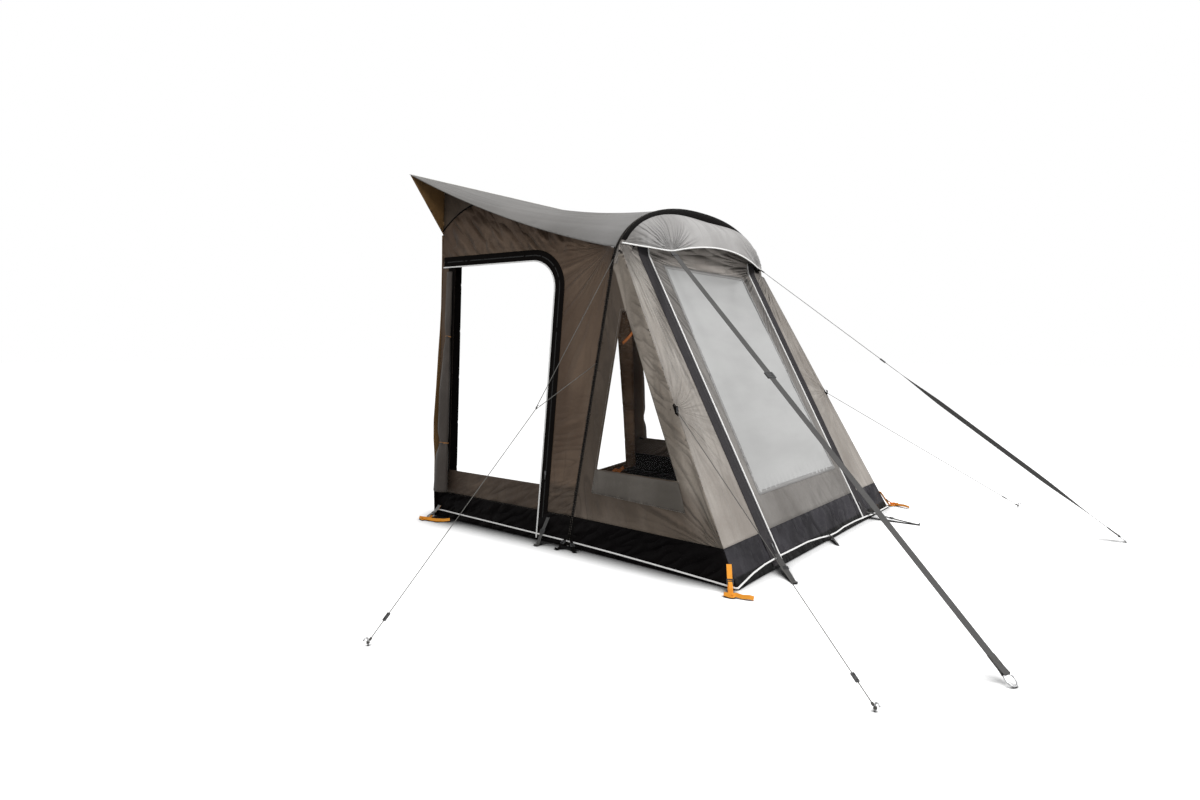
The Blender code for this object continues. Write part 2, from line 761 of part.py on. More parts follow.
def build_pad(side, word, inner):
    def pad(a, b):
        z = PAD_TOP * b
        return place(0, side * (wall_half(0, z) - mix(CLOTH / 2, PAD_WIDTH, a)), z)

    item = surface("draught_pad_" + word, PAD_ACROSS, PAD_UP, pad, PARTS, BLACK_CLOTH, PAD_THICKNESS)
    flip(item, -side)
    for slab in inner:
        cut(item, slab)


def build_front(cutters):
    def centre(a, b):
        x = mix(-CENTRE_HALF + GAP / 2, CENTRE_HALF - GAP / 2, a)
        return front_column(x, x, b)

    head = [(-WINDOW_FOOT_HALF, WINDOW_FOOT), (WINDOW_FOOT_HALF, WINDOW_FOOT),
            (WINDOW_HEAD_HALF, WINDOW_HEAD), (-WINDOW_HEAD_HALF, WINDOW_HEAD)]
    shrunk = [(x - math.copysign(GAP, x), z + (GAP if z == WINDOW_FOOT else -GAP)) for x, z in head]
    hole = front_prism("front_window_cutter", head)
    keep = front_prism("front_pane_cutter", shrunk)
    panel = surface("front_panel", FRONT_ACROSS, FRONT_UP, centre, PARTS, FRONT_CLOTH)
    cut(panel, hole)
    cut(panel, cutters["sleeve"])
    cut(panel, cutters["skirts"])
    pane = surface("front_window", FRONT_ACROSS, FRONT_UP, centre, PARTS, CLEAR_FILM, PANE)
    cut(pane, keep, "INTERSECT")

    for side in (-1, 1):
        def corner(a, b, side=side):
            start = CENTRE_HALF + GAP / 2
            return front_column(side * mix(start, FRONT_FOOT_HALF, a), side * mix(start, CREASE_HALF, a), b)

        item = surface("corner_panel_" + side_word(side), CORNER_ACROSS, FRONT_UP, corner, PARTS, FRONT_CLOTH)
        flip(item, -side)
        cut(item, cutters["sleeve"])
        cut(item, cutters["skirts"])

    def skirt(a, b):
        z = SKIRT_REACH * b
        corners = (SKIRT_SIDE_SHARE, 1 - SKIRT_SIDE_SHARE)
        if a <= corners[0]:
            out = mix(arch_out(z), front_out(z), a / corners[0])
            return place(out, -side_half(out, z), z)
        if a >= corners[1]:
            out = mix(arch_out(z), front_out(z), (1 - a) / SKIRT_SIDE_SHARE)
            return place(out, side_half(out, z), z)
        share = (a - corners[0]) / (corners[1] - corners[0])
        return place(front_out(z), mix(-corner_half(z), corner_half(z), share), z)

    item = surface("front_mud_skirt", FRONT_SKIRT_ACROSS, 1, skirt, PARTS, BLACK_CLOTH)
    cut(item, cutters["sleeve"])
    cut(item, cutters["ground"])
    cut(item, cutters["panels"])


def build_front_zip(side):
    word = side_word(side)
    foot = place(front_out(FRONT_ZIP_FOOT), side * CENTRE_HALF, FRONT_ZIP_FOOT)
    head = place(front_out(FRONT_ZIP_HEAD), side * CENTRE_HALF, FRONT_ZIP_HEAD)
    along = (head - foot).normalized()
    away = along.cross(Vector((-1, 0, 0))).normalized()
    size = ((head - foot).length, FRONT_ZIP_WIDTH, ZIP_THICKNESS)
    strip = box("front_zip_" + word, size, PARTS, BLACK_CLOTH)
    strip.matrix_world = frame_matrix((foot + head) / 2 + away * (GAP + ZIP_THICKNESS / 2), along, away)
    seat = foot + along * FRONT_SLIDER_START + away * (GAP + ZIP_THICKNESS + GAP)
    zip_slider("front_zip_slider_" + word, seat, along, away)


def build_visor(cutters):
    def root(spread):
        x = VISOR_ROOT_HALF * spread
        z = arch_height(x) - VISOR_ROOT_SINK
        return place(arch_out(z) + VISOR_ROOT_OUT, x, z)

    def lip(spread):
        point_share = VISOR_POINT_HALF / VISOR_END_HALF
        size = abs(spread)
        x = VISOR_END_HALF * spread
        if size <= point_share:
            rise = 1 - (size / point_share) ** 2
            return place(VISOR_POINT_OUT + VISOR_MIDDLE_REACH * rise, x,
                         VISOR_POINT_HEIGHT + VISOR_MIDDLE_RISE * rise)
        run = (size - point_share) / (1 - point_share)
        return place(mix(VISOR_POINT_OUT, VISOR_END_OUT, run), x,
                     mix(VISOR_POINT_HEIGHT, VISOR_END_HEIGHT, run))

    def visor(a, b):
        spread = 2 * a - 1
        top = root(math.sin(spread * VISOR_SWEEP) / math.sin(VISOR_SWEEP))
        point = top.lerp(lip(spread), b)
        bulge = VISOR_BULGE * math.sin(math.pi * b) * (1 - spread ** VISOR_EDGE_POWER_SHARE)
        return point + Vector((0, -bulge, bulge))

    item = reverse(surface("visor", VISOR_ACROSS, VISOR_ALONG, visor, PARTS, FRONT_CLOTH))
    cut(item, cutters["sleeve"])


def build_valve():
    """An inflation valve on the inner side of the left leg, with a hinged cap."""
    leg = arch_line(LEG_STEPS, CROWN_STEPS, ARCH_INSET, 0)
    up = (leg[1] - leg[0]).normalized()
    inward = (Vector((1, 0, 0)) - up * up.x).normalized()
    centre = leg[0] + up * VALVE_HEIGHT
    turn = frame_matrix(centre, up, inward)
    reach = BEAM_RADIUS + VALVE_LENGTH
    hole = rod("valve_hole", VALVE_RADIUS + GAP, 2 * SLEEVE_RADIUS, CUTTERS)
    hole.matrix_world = turn @ Matrix.Translation((0, 0, SLEEVE_RADIUS + BEAM_RADIUS / 2))
    cut(PARTS.objects["beam_sleeve"], hole)
    valve = rod("beam_valve", VALVE_RADIUS, VALVE_LENGTH + BEAM_RADIUS / 2, PARTS, BLACK_PLASTIC)
    valve.matrix_world = turn @ Matrix.Translation((0, 0, reach - (VALVE_LENGTH + BEAM_RADIUS / 2) / 2))
    inner = freeze(curve_tube("beam_clearance", arch_line(LEG_STEPS, CROWN_STEPS, ARCH_INSET, OVERRUN),
                              BEAM_RADIUS + GAP / 2, CUTTERS, None, TUBE_RESOLUTION))
    cut(valve, inner)
    cap = rod("valve_cap", CAP_RADIUS, CAP_THICKNESS, PARTS, BLACK_PLASTIC)
    ear = box("valve_cap_ear", (CAP_RADIUS + CAP_EAR, CAP_EAR, CAP_THICKNESS), CUTTERS)
    cap.matrix_world = turn @ Matrix.Translation((0, 0, reach + GAP + CAP_THICKNESS / 2))
    ear.matrix_world = cap.matrix_world @ Matrix.Translation(((CAP_RADIUS + CAP_EAR) / 2, 0, 0))
    cut(cap, ear, "UNION")


def build_storm_strap(side, peg, begin, buckle_run):
    word = side_word(side)
    point = place(VISOR_POINT_OUT, side * VISOR_POINT_HALF, VISOR_POINT_HEIGHT)
    ground = place(peg[1], peg[0], 0)
    along = (ground - point).normalized()
    drop = -along.z
    centre = ground - along * (RING_RADIUS * drop + RING_WIRE + RING_LIFT) / drop
    start = point + along * begin
    end = centre - along * (RING_RADIUS + RING_WIRE + GAP)
    up = Vector((0, 0, 1))
    strap = box("storm_strap_" + word, ((end - start).length, STRAP_WIDTH, STRAP_THICKNESS), PARTS, WEBBING)
    strap.matrix_world = frame_matrix((start + end) / 2, along, up)
    bpy.ops.mesh.primitive_torus_add(major_radius=RING_RADIUS, minor_radius=RING_WIRE,
                                     major_segments=RING_STEPS, minor_segments=RING_SIDES)
    ring = bpy.context.active_object
    ring.name = "storm_ring_" + word
    link(ring, PARTS, STEEL)
    ring.matrix_world = frame_matrix(centre, along, up)
    seat = frame_matrix(start + along * buckle_run, along, up)
    wide = STRAP_WIDTH + 2 * BUCKLE_CLEAR
    long = 3 * BUCKLE_BAR + 2 * BUCKLE_WINDOW
    size = (long, wide + 2 * BUCKLE_BAR, BUCKLE_THICKNESS)
    buckle = box("strap_buckle_" + word, size, PARTS, BLACK_PLASTIC)
    slot = box("buckle_slot_" + word, (2 * long, wide, STRAP_THICKNESS + 2 * BUCKLE_CLEAR), CUTTERS)
    buckle.matrix_world = seat
    slot.matrix_world = seat
    cut(buckle, slot)
    size = (BUCKLE_WINDOW, wide - 2 * BUCKLE_BAR, 2 * BUCKLE_THICKNESS)
    for end_side in (-1, 1):
        window = box("buckle_window_" + word, size, CUTTERS)
        window.matrix_world = seat @ Matrix.Translation((end_side * (BUCKLE_WINDOW + BUCKLE_BAR) / 2, 0, 0))
        cut(buckle, window)


def arch_half(z):
    """Half width of the arch's line at a height on its legs or its crown."""
    if z <= SPRING_HEIGHT:
        return leg_half(z)
    share = (z - SPRING_HEIGHT) / (CROWN_HEIGHT - SPRING_HEIGHT)
    return SPRING_HALF * (1 - share ** ARCH_POWER_SHARE) ** (1 / ARCH_POWER_SHARE)


def run_between(start, end, steps):
    return [start.lerp(end, step / steps) for step in range(steps + 1)]


def peg_end(axis_point, along):
    """Where a guy line's end stops short of the peg that it is tied to."""
    flat = math.hypot(along.x, along.y)
    back = (PEG_RADIUS + GAP + GUY_RADIUS * abs(along.z)) / flat
    return axis_point - along * back


def build_peg(name, foot, away):
    flat = Vector((away.x, away.y, 0)).normalized()
    top = foot + Vector((0, 0, PEG_RISE))
    points = [foot, top - Vector((0, 0, PEG_RADIUS * 2)), top + flat * PEG_RADIUS * 2,
              top + flat * PEG_HOOK, top + flat * (PEG_HOOK + PEG_RADIUS) - Vector((0, 0, PEG_HOOK / 2))]
    return freeze(curve_tube(name, points, PEG_RADIUS, PARTS, STEEL, 1))


def build_tensioner(name, line_end, along):
    """A plate that grips the guy line and slides along it."""
    seat = frame_matrix(line_end - along * TENSIONER_RUN, along, Vector((0, 0, 1)))
    plate = box(name, (TENSIONER_LENGTH, TENSIONER_WIDTH, TENSIONER_THICKNESS), PARTS, BLACK_PLASTIC)
    bore = rod(name + "_bore", GUY_RADIUS + TENSIONER_CLEAR, 2 * TENSIONER_LENGTH, CUTTERS)
    plate.matrix_world = seat
    bore.matrix_world = seat @ Matrix.Rotation(math.pi / 2, 4, "Y")
    return cut(plate, bore)


def tied_line(name, guy_name, word, start, foot):
    """A taut line from start down to a peg at foot, with its peg and tensioner."""
    tie = foot + Vector((0, 0, PEG_TIE_HEIGHT))
    along = (tie - start).normalized()
    end = peg_end(tie, along)
    freeze(curve_tube(guy_name + word, run_between(start, end, GUY_STEPS), GUY_RADIUS, PARTS, LINE))
    build_peg(name + "_guy_peg_" + word, foot, along)
    build_tensioner(name + "_tensioner_" + word, end, along)


def build_side_guy(side, clear):
    top = place(arch_out(SIDE_TOP_HEIGHT), side * arch_half(SIDE_TOP_HEIGHT), SIDE_TOP_HEIGHT)
    tab = place(arch_out(SIDE_TAB_HEIGHT), side * arch_half(SIDE_TAB_HEIGHT), SIDE_TAB_HEIGHT)
    ring = place(SIDE_RING_OUT, side * SIDE_RING_HALF, SIDE_RING_HEIGHT)
    to_top = (top - ring).normalized()
    to_tab = (tab - ring).normalized()
    middle = (to_top + to_tab).normalized()
    across = (to_top - to_tab).normalized()
    half_angle = to_top.angle(to_tab) / 2
    centre = ring + middle * GUY_BEND / math.sin(half_angle)
    points = run_between(top, centre + across * GUY_BEND * math.cos(half_angle)
                         - middle * GUY_BEND * math.sin(half_angle), GUY_STEPS)
    limit = math.pi / 2 - half_angle
    for step in range(1, ARC_STEPS):
        angle = mix(limit, -limit, step / ARC_STEPS)
        points.append(centre + (across * math.sin(angle) - middle * math.cos(angle)) * GUY_BEND)
    points += run_between(centre - across * GUY_BEND * math.cos(half_angle)
                          - middle * GUY_BEND * math.sin(half_angle), tab, GUY_STEPS)
    upper = freeze(curve_tube("side_upper_guy_" + side_word(side), points, GUY_RADIUS, PARTS, LINE))
    cut(upper, clear)
    foot = place(SIDE_PEG_OUT, side * SIDE_PEG_HALF, 0)
    apex = centre - middle * GUY_BEND
    start = apex + (foot - apex).normalized() * (GUY_RADIUS + 2 * GAP)
    tied_line("side", "side_lower_guy_", side_word(side), start, foot)


def build_corner_guy(side, peg):
    edge = place(front_out(CORNER_GUY_HEIGHT), side * corner_half(CORNER_GUY_HEIGHT), CORNER_GUY_HEIGHT)
    foot = place(peg[1], peg[0], 0)
    along = (foot - edge).normalized()
    below = CORNER_GUY_HEIGHT - TENSIONER_RUN
    lower = place(front_out(below), side * corner_half(below), below)
    behind = front_out(CORNER_GUY_HEIGHT) - TENSIONER_RUN
    inner = place(behind, side * side_half(behind, CORNER_GUY_HEIGHT), CORNER_GUY_HEIGHT)
    stand = 0
    for other in (inner, edge + Vector((1, 0, 0))):
        facing = abs((other - edge).cross(lower - edge).normalized().dot(along))
        stand = max(stand, (GAP + GUY_RADIUS * math.sqrt(1 - facing ** 2)) / facing)
    start = edge + along * stand * CORNER_GUY_SEAT_SHARE
    tied_line("corner", "corner_guy_", side_word(side), start, foot)


def corner_strap(name, top, away):
    """An orange strap from the skirt down to the ground, then flat along it."""
    foot = Vector((top.x, top.y, 0)) + away * CORNER_STRAP_REACH
    foot.z = CORNER_STRAP_THICKNESS / 2 + GAP
    slope = (foot - top).normalized()
    begin = top + away * (2 * GAP + CORNER_STRAP_THICKNESS / 2 * -slope.z)
    end = foot + away * CORNER_STRAP_FLAT
    path = [begin, begin.lerp(foot, 0.5), foot, end]
    across = Vector((0, 0, 1)).cross(away).normalized()

    def band(a, b):
        index = round(a * (len(path) - 1))
        return path[index] + across * (CORNER_STRAP_WIDTH * (b - 0.5))

    surface(name, len(path) - 1, 1, band, PARTS, ORANGE, CORNER_STRAP_THICKNESS, 0.0)
    return end


def build_corner_straps(side):
    word = side_word(side)
    z = CORNER_STRAP_RISE
    away = Vector((side * CORNER_ASIDE_SHARE, -CORNER_AHEAD_SHARE, 0)).normalized()
    end = corner_strap("front_corner_strap_" + word, place(front_out(z), side * corner_half(z), z), away)
    head = rod("front_corner_peg_" + word, CORNER_PEG_HEAD, CORNER_PEG_HEIGHT, PARTS, ORANGE)
    head.location = end + away * (GAP + CORNER_PEG_HEAD)
    head.location.z = CORNER_PEG_HEIGHT / 2
    away = Vector((side, 0, 0))
    out = REAR_STRAP_OUT
    corner_strap("rear_corner_strap_" + word, place(out, side * wall_half(out, z), z), away)


def main():
    clear, below = build_arch()
    cutters = make_cutters(clear, below)
    build_roof(cutters)
    door_cut = side_prism("doorway_cutter", door_outline())
    tri = [(TRI_BACK_FOOT, TRI_FOOT), (TRI_FRONT_FOOT, TRI_FOOT),
           (TRI_FRONT_APEX, TRI_APEX), (TRI_BACK_APEX, TRI_APEX)]
    shrunk = [(TRI_BACK_FOOT + GAP, TRI_FOOT + GAP), (TRI_FRONT_FOOT - GAP, TRI_FOOT + GAP),
              (TRI_FRONT_APEX - GAP, TRI_APEX - GAP), (TRI_BACK_APEX + GAP, TRI_APEX - GAP)]
    tri_cut = side_prism("side_window_cutter", tri)
    tri_pane_cut = side_prism("side_pane_cutter", shrunk)
    for side in (-1, 1):
        build_side(side, cutters, door_cut, tri_cut, tri_pane_cut)
        build_front_zip(side)
        build_side_guy(side, clear)
        build_corner_straps(side)
    build_front(cutters)
    build_visor(cutters)
    build_valve()
    build_storm_strap(-1, STRAP_LEFT_PEG, STRAP_LEFT_START, BUCKLE_LEFT_RUN)
    build_storm_strap(1, STRAP_RIGHT_PEG, STRAP_RIGHT_START, BUCKLE_RIGHT_RUN)
    build_corner_guy(-1, CORNER_LEFT_PEG)
    build_corner_guy(1, CORNER_RIGHT_PEG)


main()
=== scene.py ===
# %% [markdown]
# # A caravan porch awning, held up by one air beam
#
# The awning hangs from a caravan's rail and stands on one inflatable arch. Straps and guy lines hold it to
# the ground. The CAD model fixes every size. This lesson dresses it: each cell makes one piece in cloth,
# webbing or plastic and lets it ride on the CAD body that carries it.

# %% The frame
import math

import bmesh
import bpy
import numpy as np
from mathutils import Matrix, Vector, geometry, noise


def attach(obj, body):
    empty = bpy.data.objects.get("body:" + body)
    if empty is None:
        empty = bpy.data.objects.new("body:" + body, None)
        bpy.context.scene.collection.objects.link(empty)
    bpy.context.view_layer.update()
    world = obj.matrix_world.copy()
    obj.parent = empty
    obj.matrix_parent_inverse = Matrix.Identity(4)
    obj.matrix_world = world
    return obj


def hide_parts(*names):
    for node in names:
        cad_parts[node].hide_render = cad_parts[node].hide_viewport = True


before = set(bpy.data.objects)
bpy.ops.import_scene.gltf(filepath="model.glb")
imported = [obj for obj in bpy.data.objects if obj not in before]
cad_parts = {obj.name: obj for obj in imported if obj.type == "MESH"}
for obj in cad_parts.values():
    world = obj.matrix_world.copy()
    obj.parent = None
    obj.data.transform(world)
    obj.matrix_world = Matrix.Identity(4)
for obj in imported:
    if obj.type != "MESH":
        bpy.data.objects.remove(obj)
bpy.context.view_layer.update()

SCENE = bpy.context.scene
SCENE.view_settings.view_transform = "Standard"
SHELL = "awning"
UP, FORWARD = Vector((0, 0, 1)), Vector((0, -1, 0))


def put(name, data):
    """A new object in the scene."""
    item = bpy.data.objects.new(name, data)
    SCENE.collection.objects.link(item)
    return item


# %% [markdown]
# ## The camera
#
# The photograph was taken from the left, at eye height, with a wide lens. The camera is built from its
# heading, its downward tilt and a trace of roll, so it can be read back as a person would describe it.

# %% Camera at the photograph's viewing angle
CARAVAN_Y = 1.286536
CAMERA_PLACE = Vector((-4.479, CARAVAN_Y - 4.223, 1.261))
HEADING, TILT, ROLL = (math.radians(angle) for angle in (39.287, -4.2486, 0.2866))
LENS = 20.883

ahead = Vector((math.cos(HEADING) * math.cos(TILT), math.sin(HEADING) * math.cos(TILT), math.sin(TILT)))
right = Vector((math.sin(HEADING), -math.cos(HEADING), 0))
up = right.cross(ahead)
right, up = right * math.cos(ROLL) + up * math.sin(ROLL), up * math.cos(ROLL) - right * math.sin(ROLL)
camera = put("camera", bpy.data.cameras.new("camera"))
camera.data.lens = LENS
camera.matrix_world = Matrix.Translation(CAMERA_PLACE) @ Matrix((right, up, -ahead)).transposed().to_4x4()
SCENE.camera = camera
print("camera", tuple(round(v, 3) for v in CAMERA_PLACE))

# %% [markdown]
# ## Shader maths as expressions
#
# A material is easier to read as arithmetic than as a list of nodes. `Wire` wraps one socket, so that
# `1 - mask * 0.3` adds the Math nodes by itself. `Finish` holds a material and adds any other node.

# %% Wire and Finish
class Wire:
    """One output socket, with arithmetic."""

    def __init__(self, finish, socket):
        self.finish, self.socket = finish, socket

    def maths(self, operation, first, second=0.0):
        return self.finish.node("ShaderNodeMath", {"operation": operation}, {0: first, 1: second})

    def __add__(self, other): return self.maths("ADD", self, other)
    def __radd__(self, other): return self.maths("ADD", other, self)
    def __sub__(self, other): return self.maths("SUBTRACT", self, other)
    def __rsub__(self, other): return self.maths("SUBTRACT", other, self)
    def __mul__(self, other): return self.maths("MULTIPLY", self, other)
    def __rmul__(self, other): return self.maths("MULTIPLY", other, self)
    def __pow__(self, other): return self.maths("POWER", self, other)


class Finish:
    """A material around one Principled shader."""

    def __init__(self, name, roughness=0.7, **fixed):
        self.material = bpy.data.materials.new(name)
        self.material.use_nodes = True
        self.tree = self.material.node_tree
        self.shader = self.tree.nodes["Principled BSDF"]
        self.set(roughness=roughness, **fixed)
        self.place = self.node("ShaderNodeTexCoord", output="Object")

    def set(self, **values):
        for key, value in values.items():
            self.feed(self.shader.inputs[key.replace("_", " ").title().replace("Ior", "IOR")], value)

    def feed(self, socket, value):
        if isinstance(value, Wire):
            self.tree.links.new(value.socket, socket)
        else:
            socket.default_value = value

    def node(self, kind, settings=None, inputs=None, output=0):
        made = self.tree.nodes.new(kind)
        for key, value in (settings or {}).items():
            if key == "stops":
                for stop, (at, colour) in zip(made.color_ramp.elements, value):
                    stop.position, stop.color = at, colour
            else:
                setattr(made, key, value)
        for key, value in (inputs or {}).items():
            self.feed(made.inputs[key], value)
        return Wire(self, made.outputs[output])

    def stretch(self, sizes, turn=(0.0, 0.0, 0.0)):
        """The place measured in features: sizes are a feature's metres along each axis, after a turn."""
        return self.node("ShaderNodeMapping", {"vector_type": "TEXTURE"},
                         {"Vector": self.place, "Scale": sizes, "Rotation": turn})

    def cloud(self, scale, detail=3.0, where=None):
        return self.node("ShaderNodeTexNoise", None,
                         {"Vector": where or self.place, "Scale": scale, "Detail": detail})

    def ribs(self, axis, scale, profile="SIN"):
        """Even ribs across one axis; a rib is about 0.3 divided by scale metres."""
        settings = {"wave_type": "BANDS", "bands_direction": axis, "wave_profile": profile}
        return self.node("ShaderNodeTexWave", settings, {"Vector": self.place, "Scale": scale})

    def step(self, value, low, high):
        """0 below low, 1 above high, smooth between."""
        settings = {"interpolation_type": "SMOOTHSTEP"}
        return self.node("ShaderNodeMapRange", settings, {"Value": value, "From Min": low, "From Max": high})

    def maths_abs(self, value):
        return self.node("ShaderNodeMath", {"operation": "ABSOLUTE"}, {0: value})

    def axis(self, letter, of=None):
        return self.node("ShaderNodeSeparateXYZ", None, {0: of or self.place}, output=letter)

    def fan(self, at, across, spokes, reach, down=1.0):
        """Creases spreading from a point: a ridge value, and how much it counts there."""
        part = self.node("ShaderNodeVectorMath", {"operation": "SUBTRACT"}, {0: self.place, 1: at})
        far = self.node("ShaderNodeVectorMath", {"operation": "LENGTH"}, {0: part}, output="Value")
        sideways = self.axis(across, part)
        angle = sideways.maths("ARCTAN2", sideways, self.axis("Z", part) * -down)
        polar = self.node("ShaderNodeCombineXYZ", None, {0: angle * spokes, 1: far * 1.6, 2: spokes})
        ridge = self.maths_abs(self.cloud(1.0, 0.3, polar) - 0.5)
        return ridge, self.step(far, 0.01, 0.06) * (1 - self.step(far, reach * 0.35, reach))

    def folds(self, size, turn, where=1.0):
        """Creases in one direction: a ridge value, and how much it counts there."""
        return self.maths_abs(self.cloud(1.5, 0.5, self.stretch(size, turn)) - 0.5), where

    def mix(self, share, first, second):
        first, second = (c if isinstance(c, Wire) else (*c, 1.0) for c in (first, second))
        return self.node("ShaderNodeMix", {"data_type": "RGBA"}, {0: share, 6: first, 7: second}, output=2)

    def bump(self, height, strength, distance):
        made = self.node("ShaderNodeBump", None,
                         {"Height": height, "Strength": strength, "Distance": distance})
        self.set(normal=made)
        return made


print("shader helpers ready")

# %% [markdown]
# ## Cloth
#
# The panels are coated polyester. Close to, it has a fine plain weave. From further away, the eye sees faint
# blotches where the coating is thicker and long soft creases from the bag; each crease gets a painted shade
# line along its bottom, and layered creases a painted highlight along their tops. A darker brown is used on
# the walls and a lighter grey-brown on the front and the roof. A patch gives a place on the cloth its own
# pair of colours, where the cloth is seen paler or darker: patches paint light on some places and shade on
# others.

# %% Cloth finishes
WEAVE = 300.0


UPRIGHT, ACROSS = (0.16, 0.16, 0.9), (0.6, 0.6, 0.12)
FRONT_LEAN = math.atan2(2.523 - 1.534, 1.867)
ZIP_LINE = (0.733, 0.737)


def cloth(name, dark, light, roughness=0.55, sheen=0.05, fold=UPRIGHT, lean=0.0, crumple=0.007, line=0.25,
          ior=1.28, patches=(), layers=()):
    """Coated cloth. fold is the size of a soft crease, lean turns it with a sloping panel.

    Each patch is a value, the two levels that it fades in between, and the colours there; a patch paints
    light or shade onto its place. Each layer adds creases of its own and a height for them. The bottom of a
    crease gets a painted shade line and its top a painted highlight; line sets how strong they are.
    """
    made = Finish(name, roughness, sheen_weight=sheen, sheen_roughness=0.4, ior=ior)
    blotch = made.cloud(2.2, 4.0)
    along = made.stretch(fold, (lean, 0.0, 0.0))
    drift = made.cloud(0.8, 1.0, along)
    fine = made.cloud(90.0, 2.0)
    ridge = made.maths_abs(made.cloud(1.6, 0.6, along) - 0.5)
    knots = made.maths_abs(made.cloud(9.0, 3.0) - 0.5)
    height = ridge * (crumple * 1.6) + knots * (crumple * 0.35)
    # Painted shade: a dark line along the bottom of each crease.
    painted_crease_shade = (1 - made.step(ridge, 0.0, 0.07)) * made.step(blotch, 0.46, 0.6)
    painted_crease_highlight = 0.0 * drift
    for build, rise in layers:
        other, here = build(made)
        height = height + other * here * rise
        painted_layer_shade = (1 - made.step(other, 0.0, 0.08)) * here * made.step(blotch, 0.38, 0.56)
        painted_crease_shade = painted_crease_shade.maths("MAXIMUM", painted_crease_shade, painted_layer_shade)
        painted_crease_highlight = painted_crease_highlight.maths("MAXIMUM", painted_crease_highlight, made.step(other, 0.17, 0.3) * here)
    share = made.step(blotch * 0.55 + drift * 0.37 + fine * 0.08, 0.38, 0.62)
    colour = made.mix(share, dark, light)
    for patch in patches:
        value, low, high, (other_dark, other_light) = patch(made)
        colour = made.mix(made.step(value, low, high), colour, made.mix(share, other_dark, other_light))
    # Painted highlight on crease tops, then painted shade in crease bottoms, mixed into the base colour.
    colour = made.mix(painted_crease_highlight * line, colour, made.mix(0.5, colour, tuple(min(v * 2.6, 0.6) for v in light)))
    made.set(base_color=made.mix(painted_crease_shade * line, colour, tuple(v * 0.45 for v in dark)))
    made.set(roughness=roughness - 0.08 + 0.16 * drift)
    threads = (made.ribs("X", WEAVE) + made.ribs("Y", WEAVE)) * 0.5 + made.ribs("Z", WEAVE) * 0.5
    made.bump(threads * 0.0001 + fine * 0.00015 + height, 1.0, 1.0)
    return made.material


def below(made, top, soft):
    return 1 - made.step(made.axis("Z"), top - soft, top)


def above(made, foot, soft):
    return made.step(made.axis("Z"), foot, foot + soft)


def in_front(made, out, soft):
    return made.step(CARAVAN_Y - made.axis("Y"), out, out + soft)


def sill_shade(made):
    return 0.405 - made.axis("Z"), 0.0, 0.06, ((0.052, 0.036, 0.026), (0.084, 0.062, 0.046))


# Painted shade: the visor's ends beyond the strap points get darker colours.
def visor_ends_painted_shade(made):
    return made.maths_abs(made.axis("X")), 0.74, 0.9, ((0.14, 0.133, 0.126), (0.21, 0.202, 0.194))


WALL_LAYERS = ((lambda made: made.folds((0.3, 0.13, 0.42), (-0.75, 0, 0), above(made, 1.84, 0.12)), 0.17),
               (lambda made: made.folds((0.3, 0.09, 0.6), (1.05, 0, 0), below(made, 0.46, 0.1)), 0.06),
               (lambda made: made.folds((0.3, 0.09, 0.4), (1.4, 0, 0),
                                        in_front(made, 1.08, 0.06) * below(made, 1.1, 0.4)), 0.05),
               (lambda made: made.fan((-1.05, CARAVAN_Y - 1.44, 1.9), "Y", 7.0, 1.3), 0.05))
FRONT_LAYERS = tuple(
    (lambda made, side=side, x=x, out=out, z=z, spokes=spokes, reach=reach:
     made.fan((side * x, CARAVAN_Y - out, z), "X", spokes, reach), rise)
    for side in (-1, 1) for x, out, z, spokes, reach, rise in ((0.955, 1.53, 1.93, 13.0, 2.6, 0.085),
                                                              (1.12, 2.04, 0.91, 7.0, 0.7, 0.03)))
VISOR_LAYERS = tuple((lambda made, side=side: made.fan((side * 0.616, CARAVAN_Y - 1.664, 1.89), "X", 6.0,
                                                       0.42, -1.0), 0.06) for side in (-1, 1))


# Painted light: the front cloth outside the zips gets paler colours.
def corner_painted_light(made):
    return made.maths_abs(made.axis("X")), *ZIP_LINE, ((0.225, 0.2, 0.176), (0.35, 0.322, 0.292))


# Painted light: paler still towards the foot of the corner panels.
def low_corner_painted_light(made):
    return (made.step(made.maths_abs(made.axis("X")), *ZIP_LINE) * (1 - made.axis("Z")), 0.05, 0.8,
            ((0.24, 0.214, 0.19), (0.372, 0.34, 0.308)))


# Painted light: the front just under the visor gets paler colours, for light coming through the visor.
def under_visor(made):
    return made.axis("Z"), 1.8, 1.86, ((0.25, 0.226, 0.205), (0.37, 0.34, 0.312))


# Painted light: the roof gets paler colours towards the arch.
def near_arch_painted_light(made):
    return CARAVAN_Y - made.axis("Y"), 1.05, 1.45, ((0.158, 0.154, 0.15), (0.204, 0.199, 0.194))


# Painted shade: the front skirt below the hem is made near black.
def painted_shade_under_hem(made):
    return 0.055 - made.axis("Z"), 0.0, 0.012, ((0.004, 0.004, 0.004), (0.008, 0.008, 0.008))


WALL = cloth("wall_cloth", (0.078, 0.05, 0.033), (0.124, 0.086, 0.06), crumple=0.007, patches=(sill_shade,),
             layers=WALL_LAYERS)
FRONT = cloth("front_cloth", (0.13, 0.12, 0.11), (0.2, 0.188, 0.176), fold=(0.16, 0.16, 0.8),
              lean=-FRONT_LEAN, crumple=0.014, line=0.24, patches=(corner_painted_light, low_corner_painted_light, under_visor),
              layers=FRONT_LAYERS)
ROOF = cloth("roof_cloth", (0.126, 0.121, 0.115), (0.158, 0.152, 0.145), fold=ACROSS, crumple=0.004,
             line=0.12, patches=(near_arch_painted_light,))
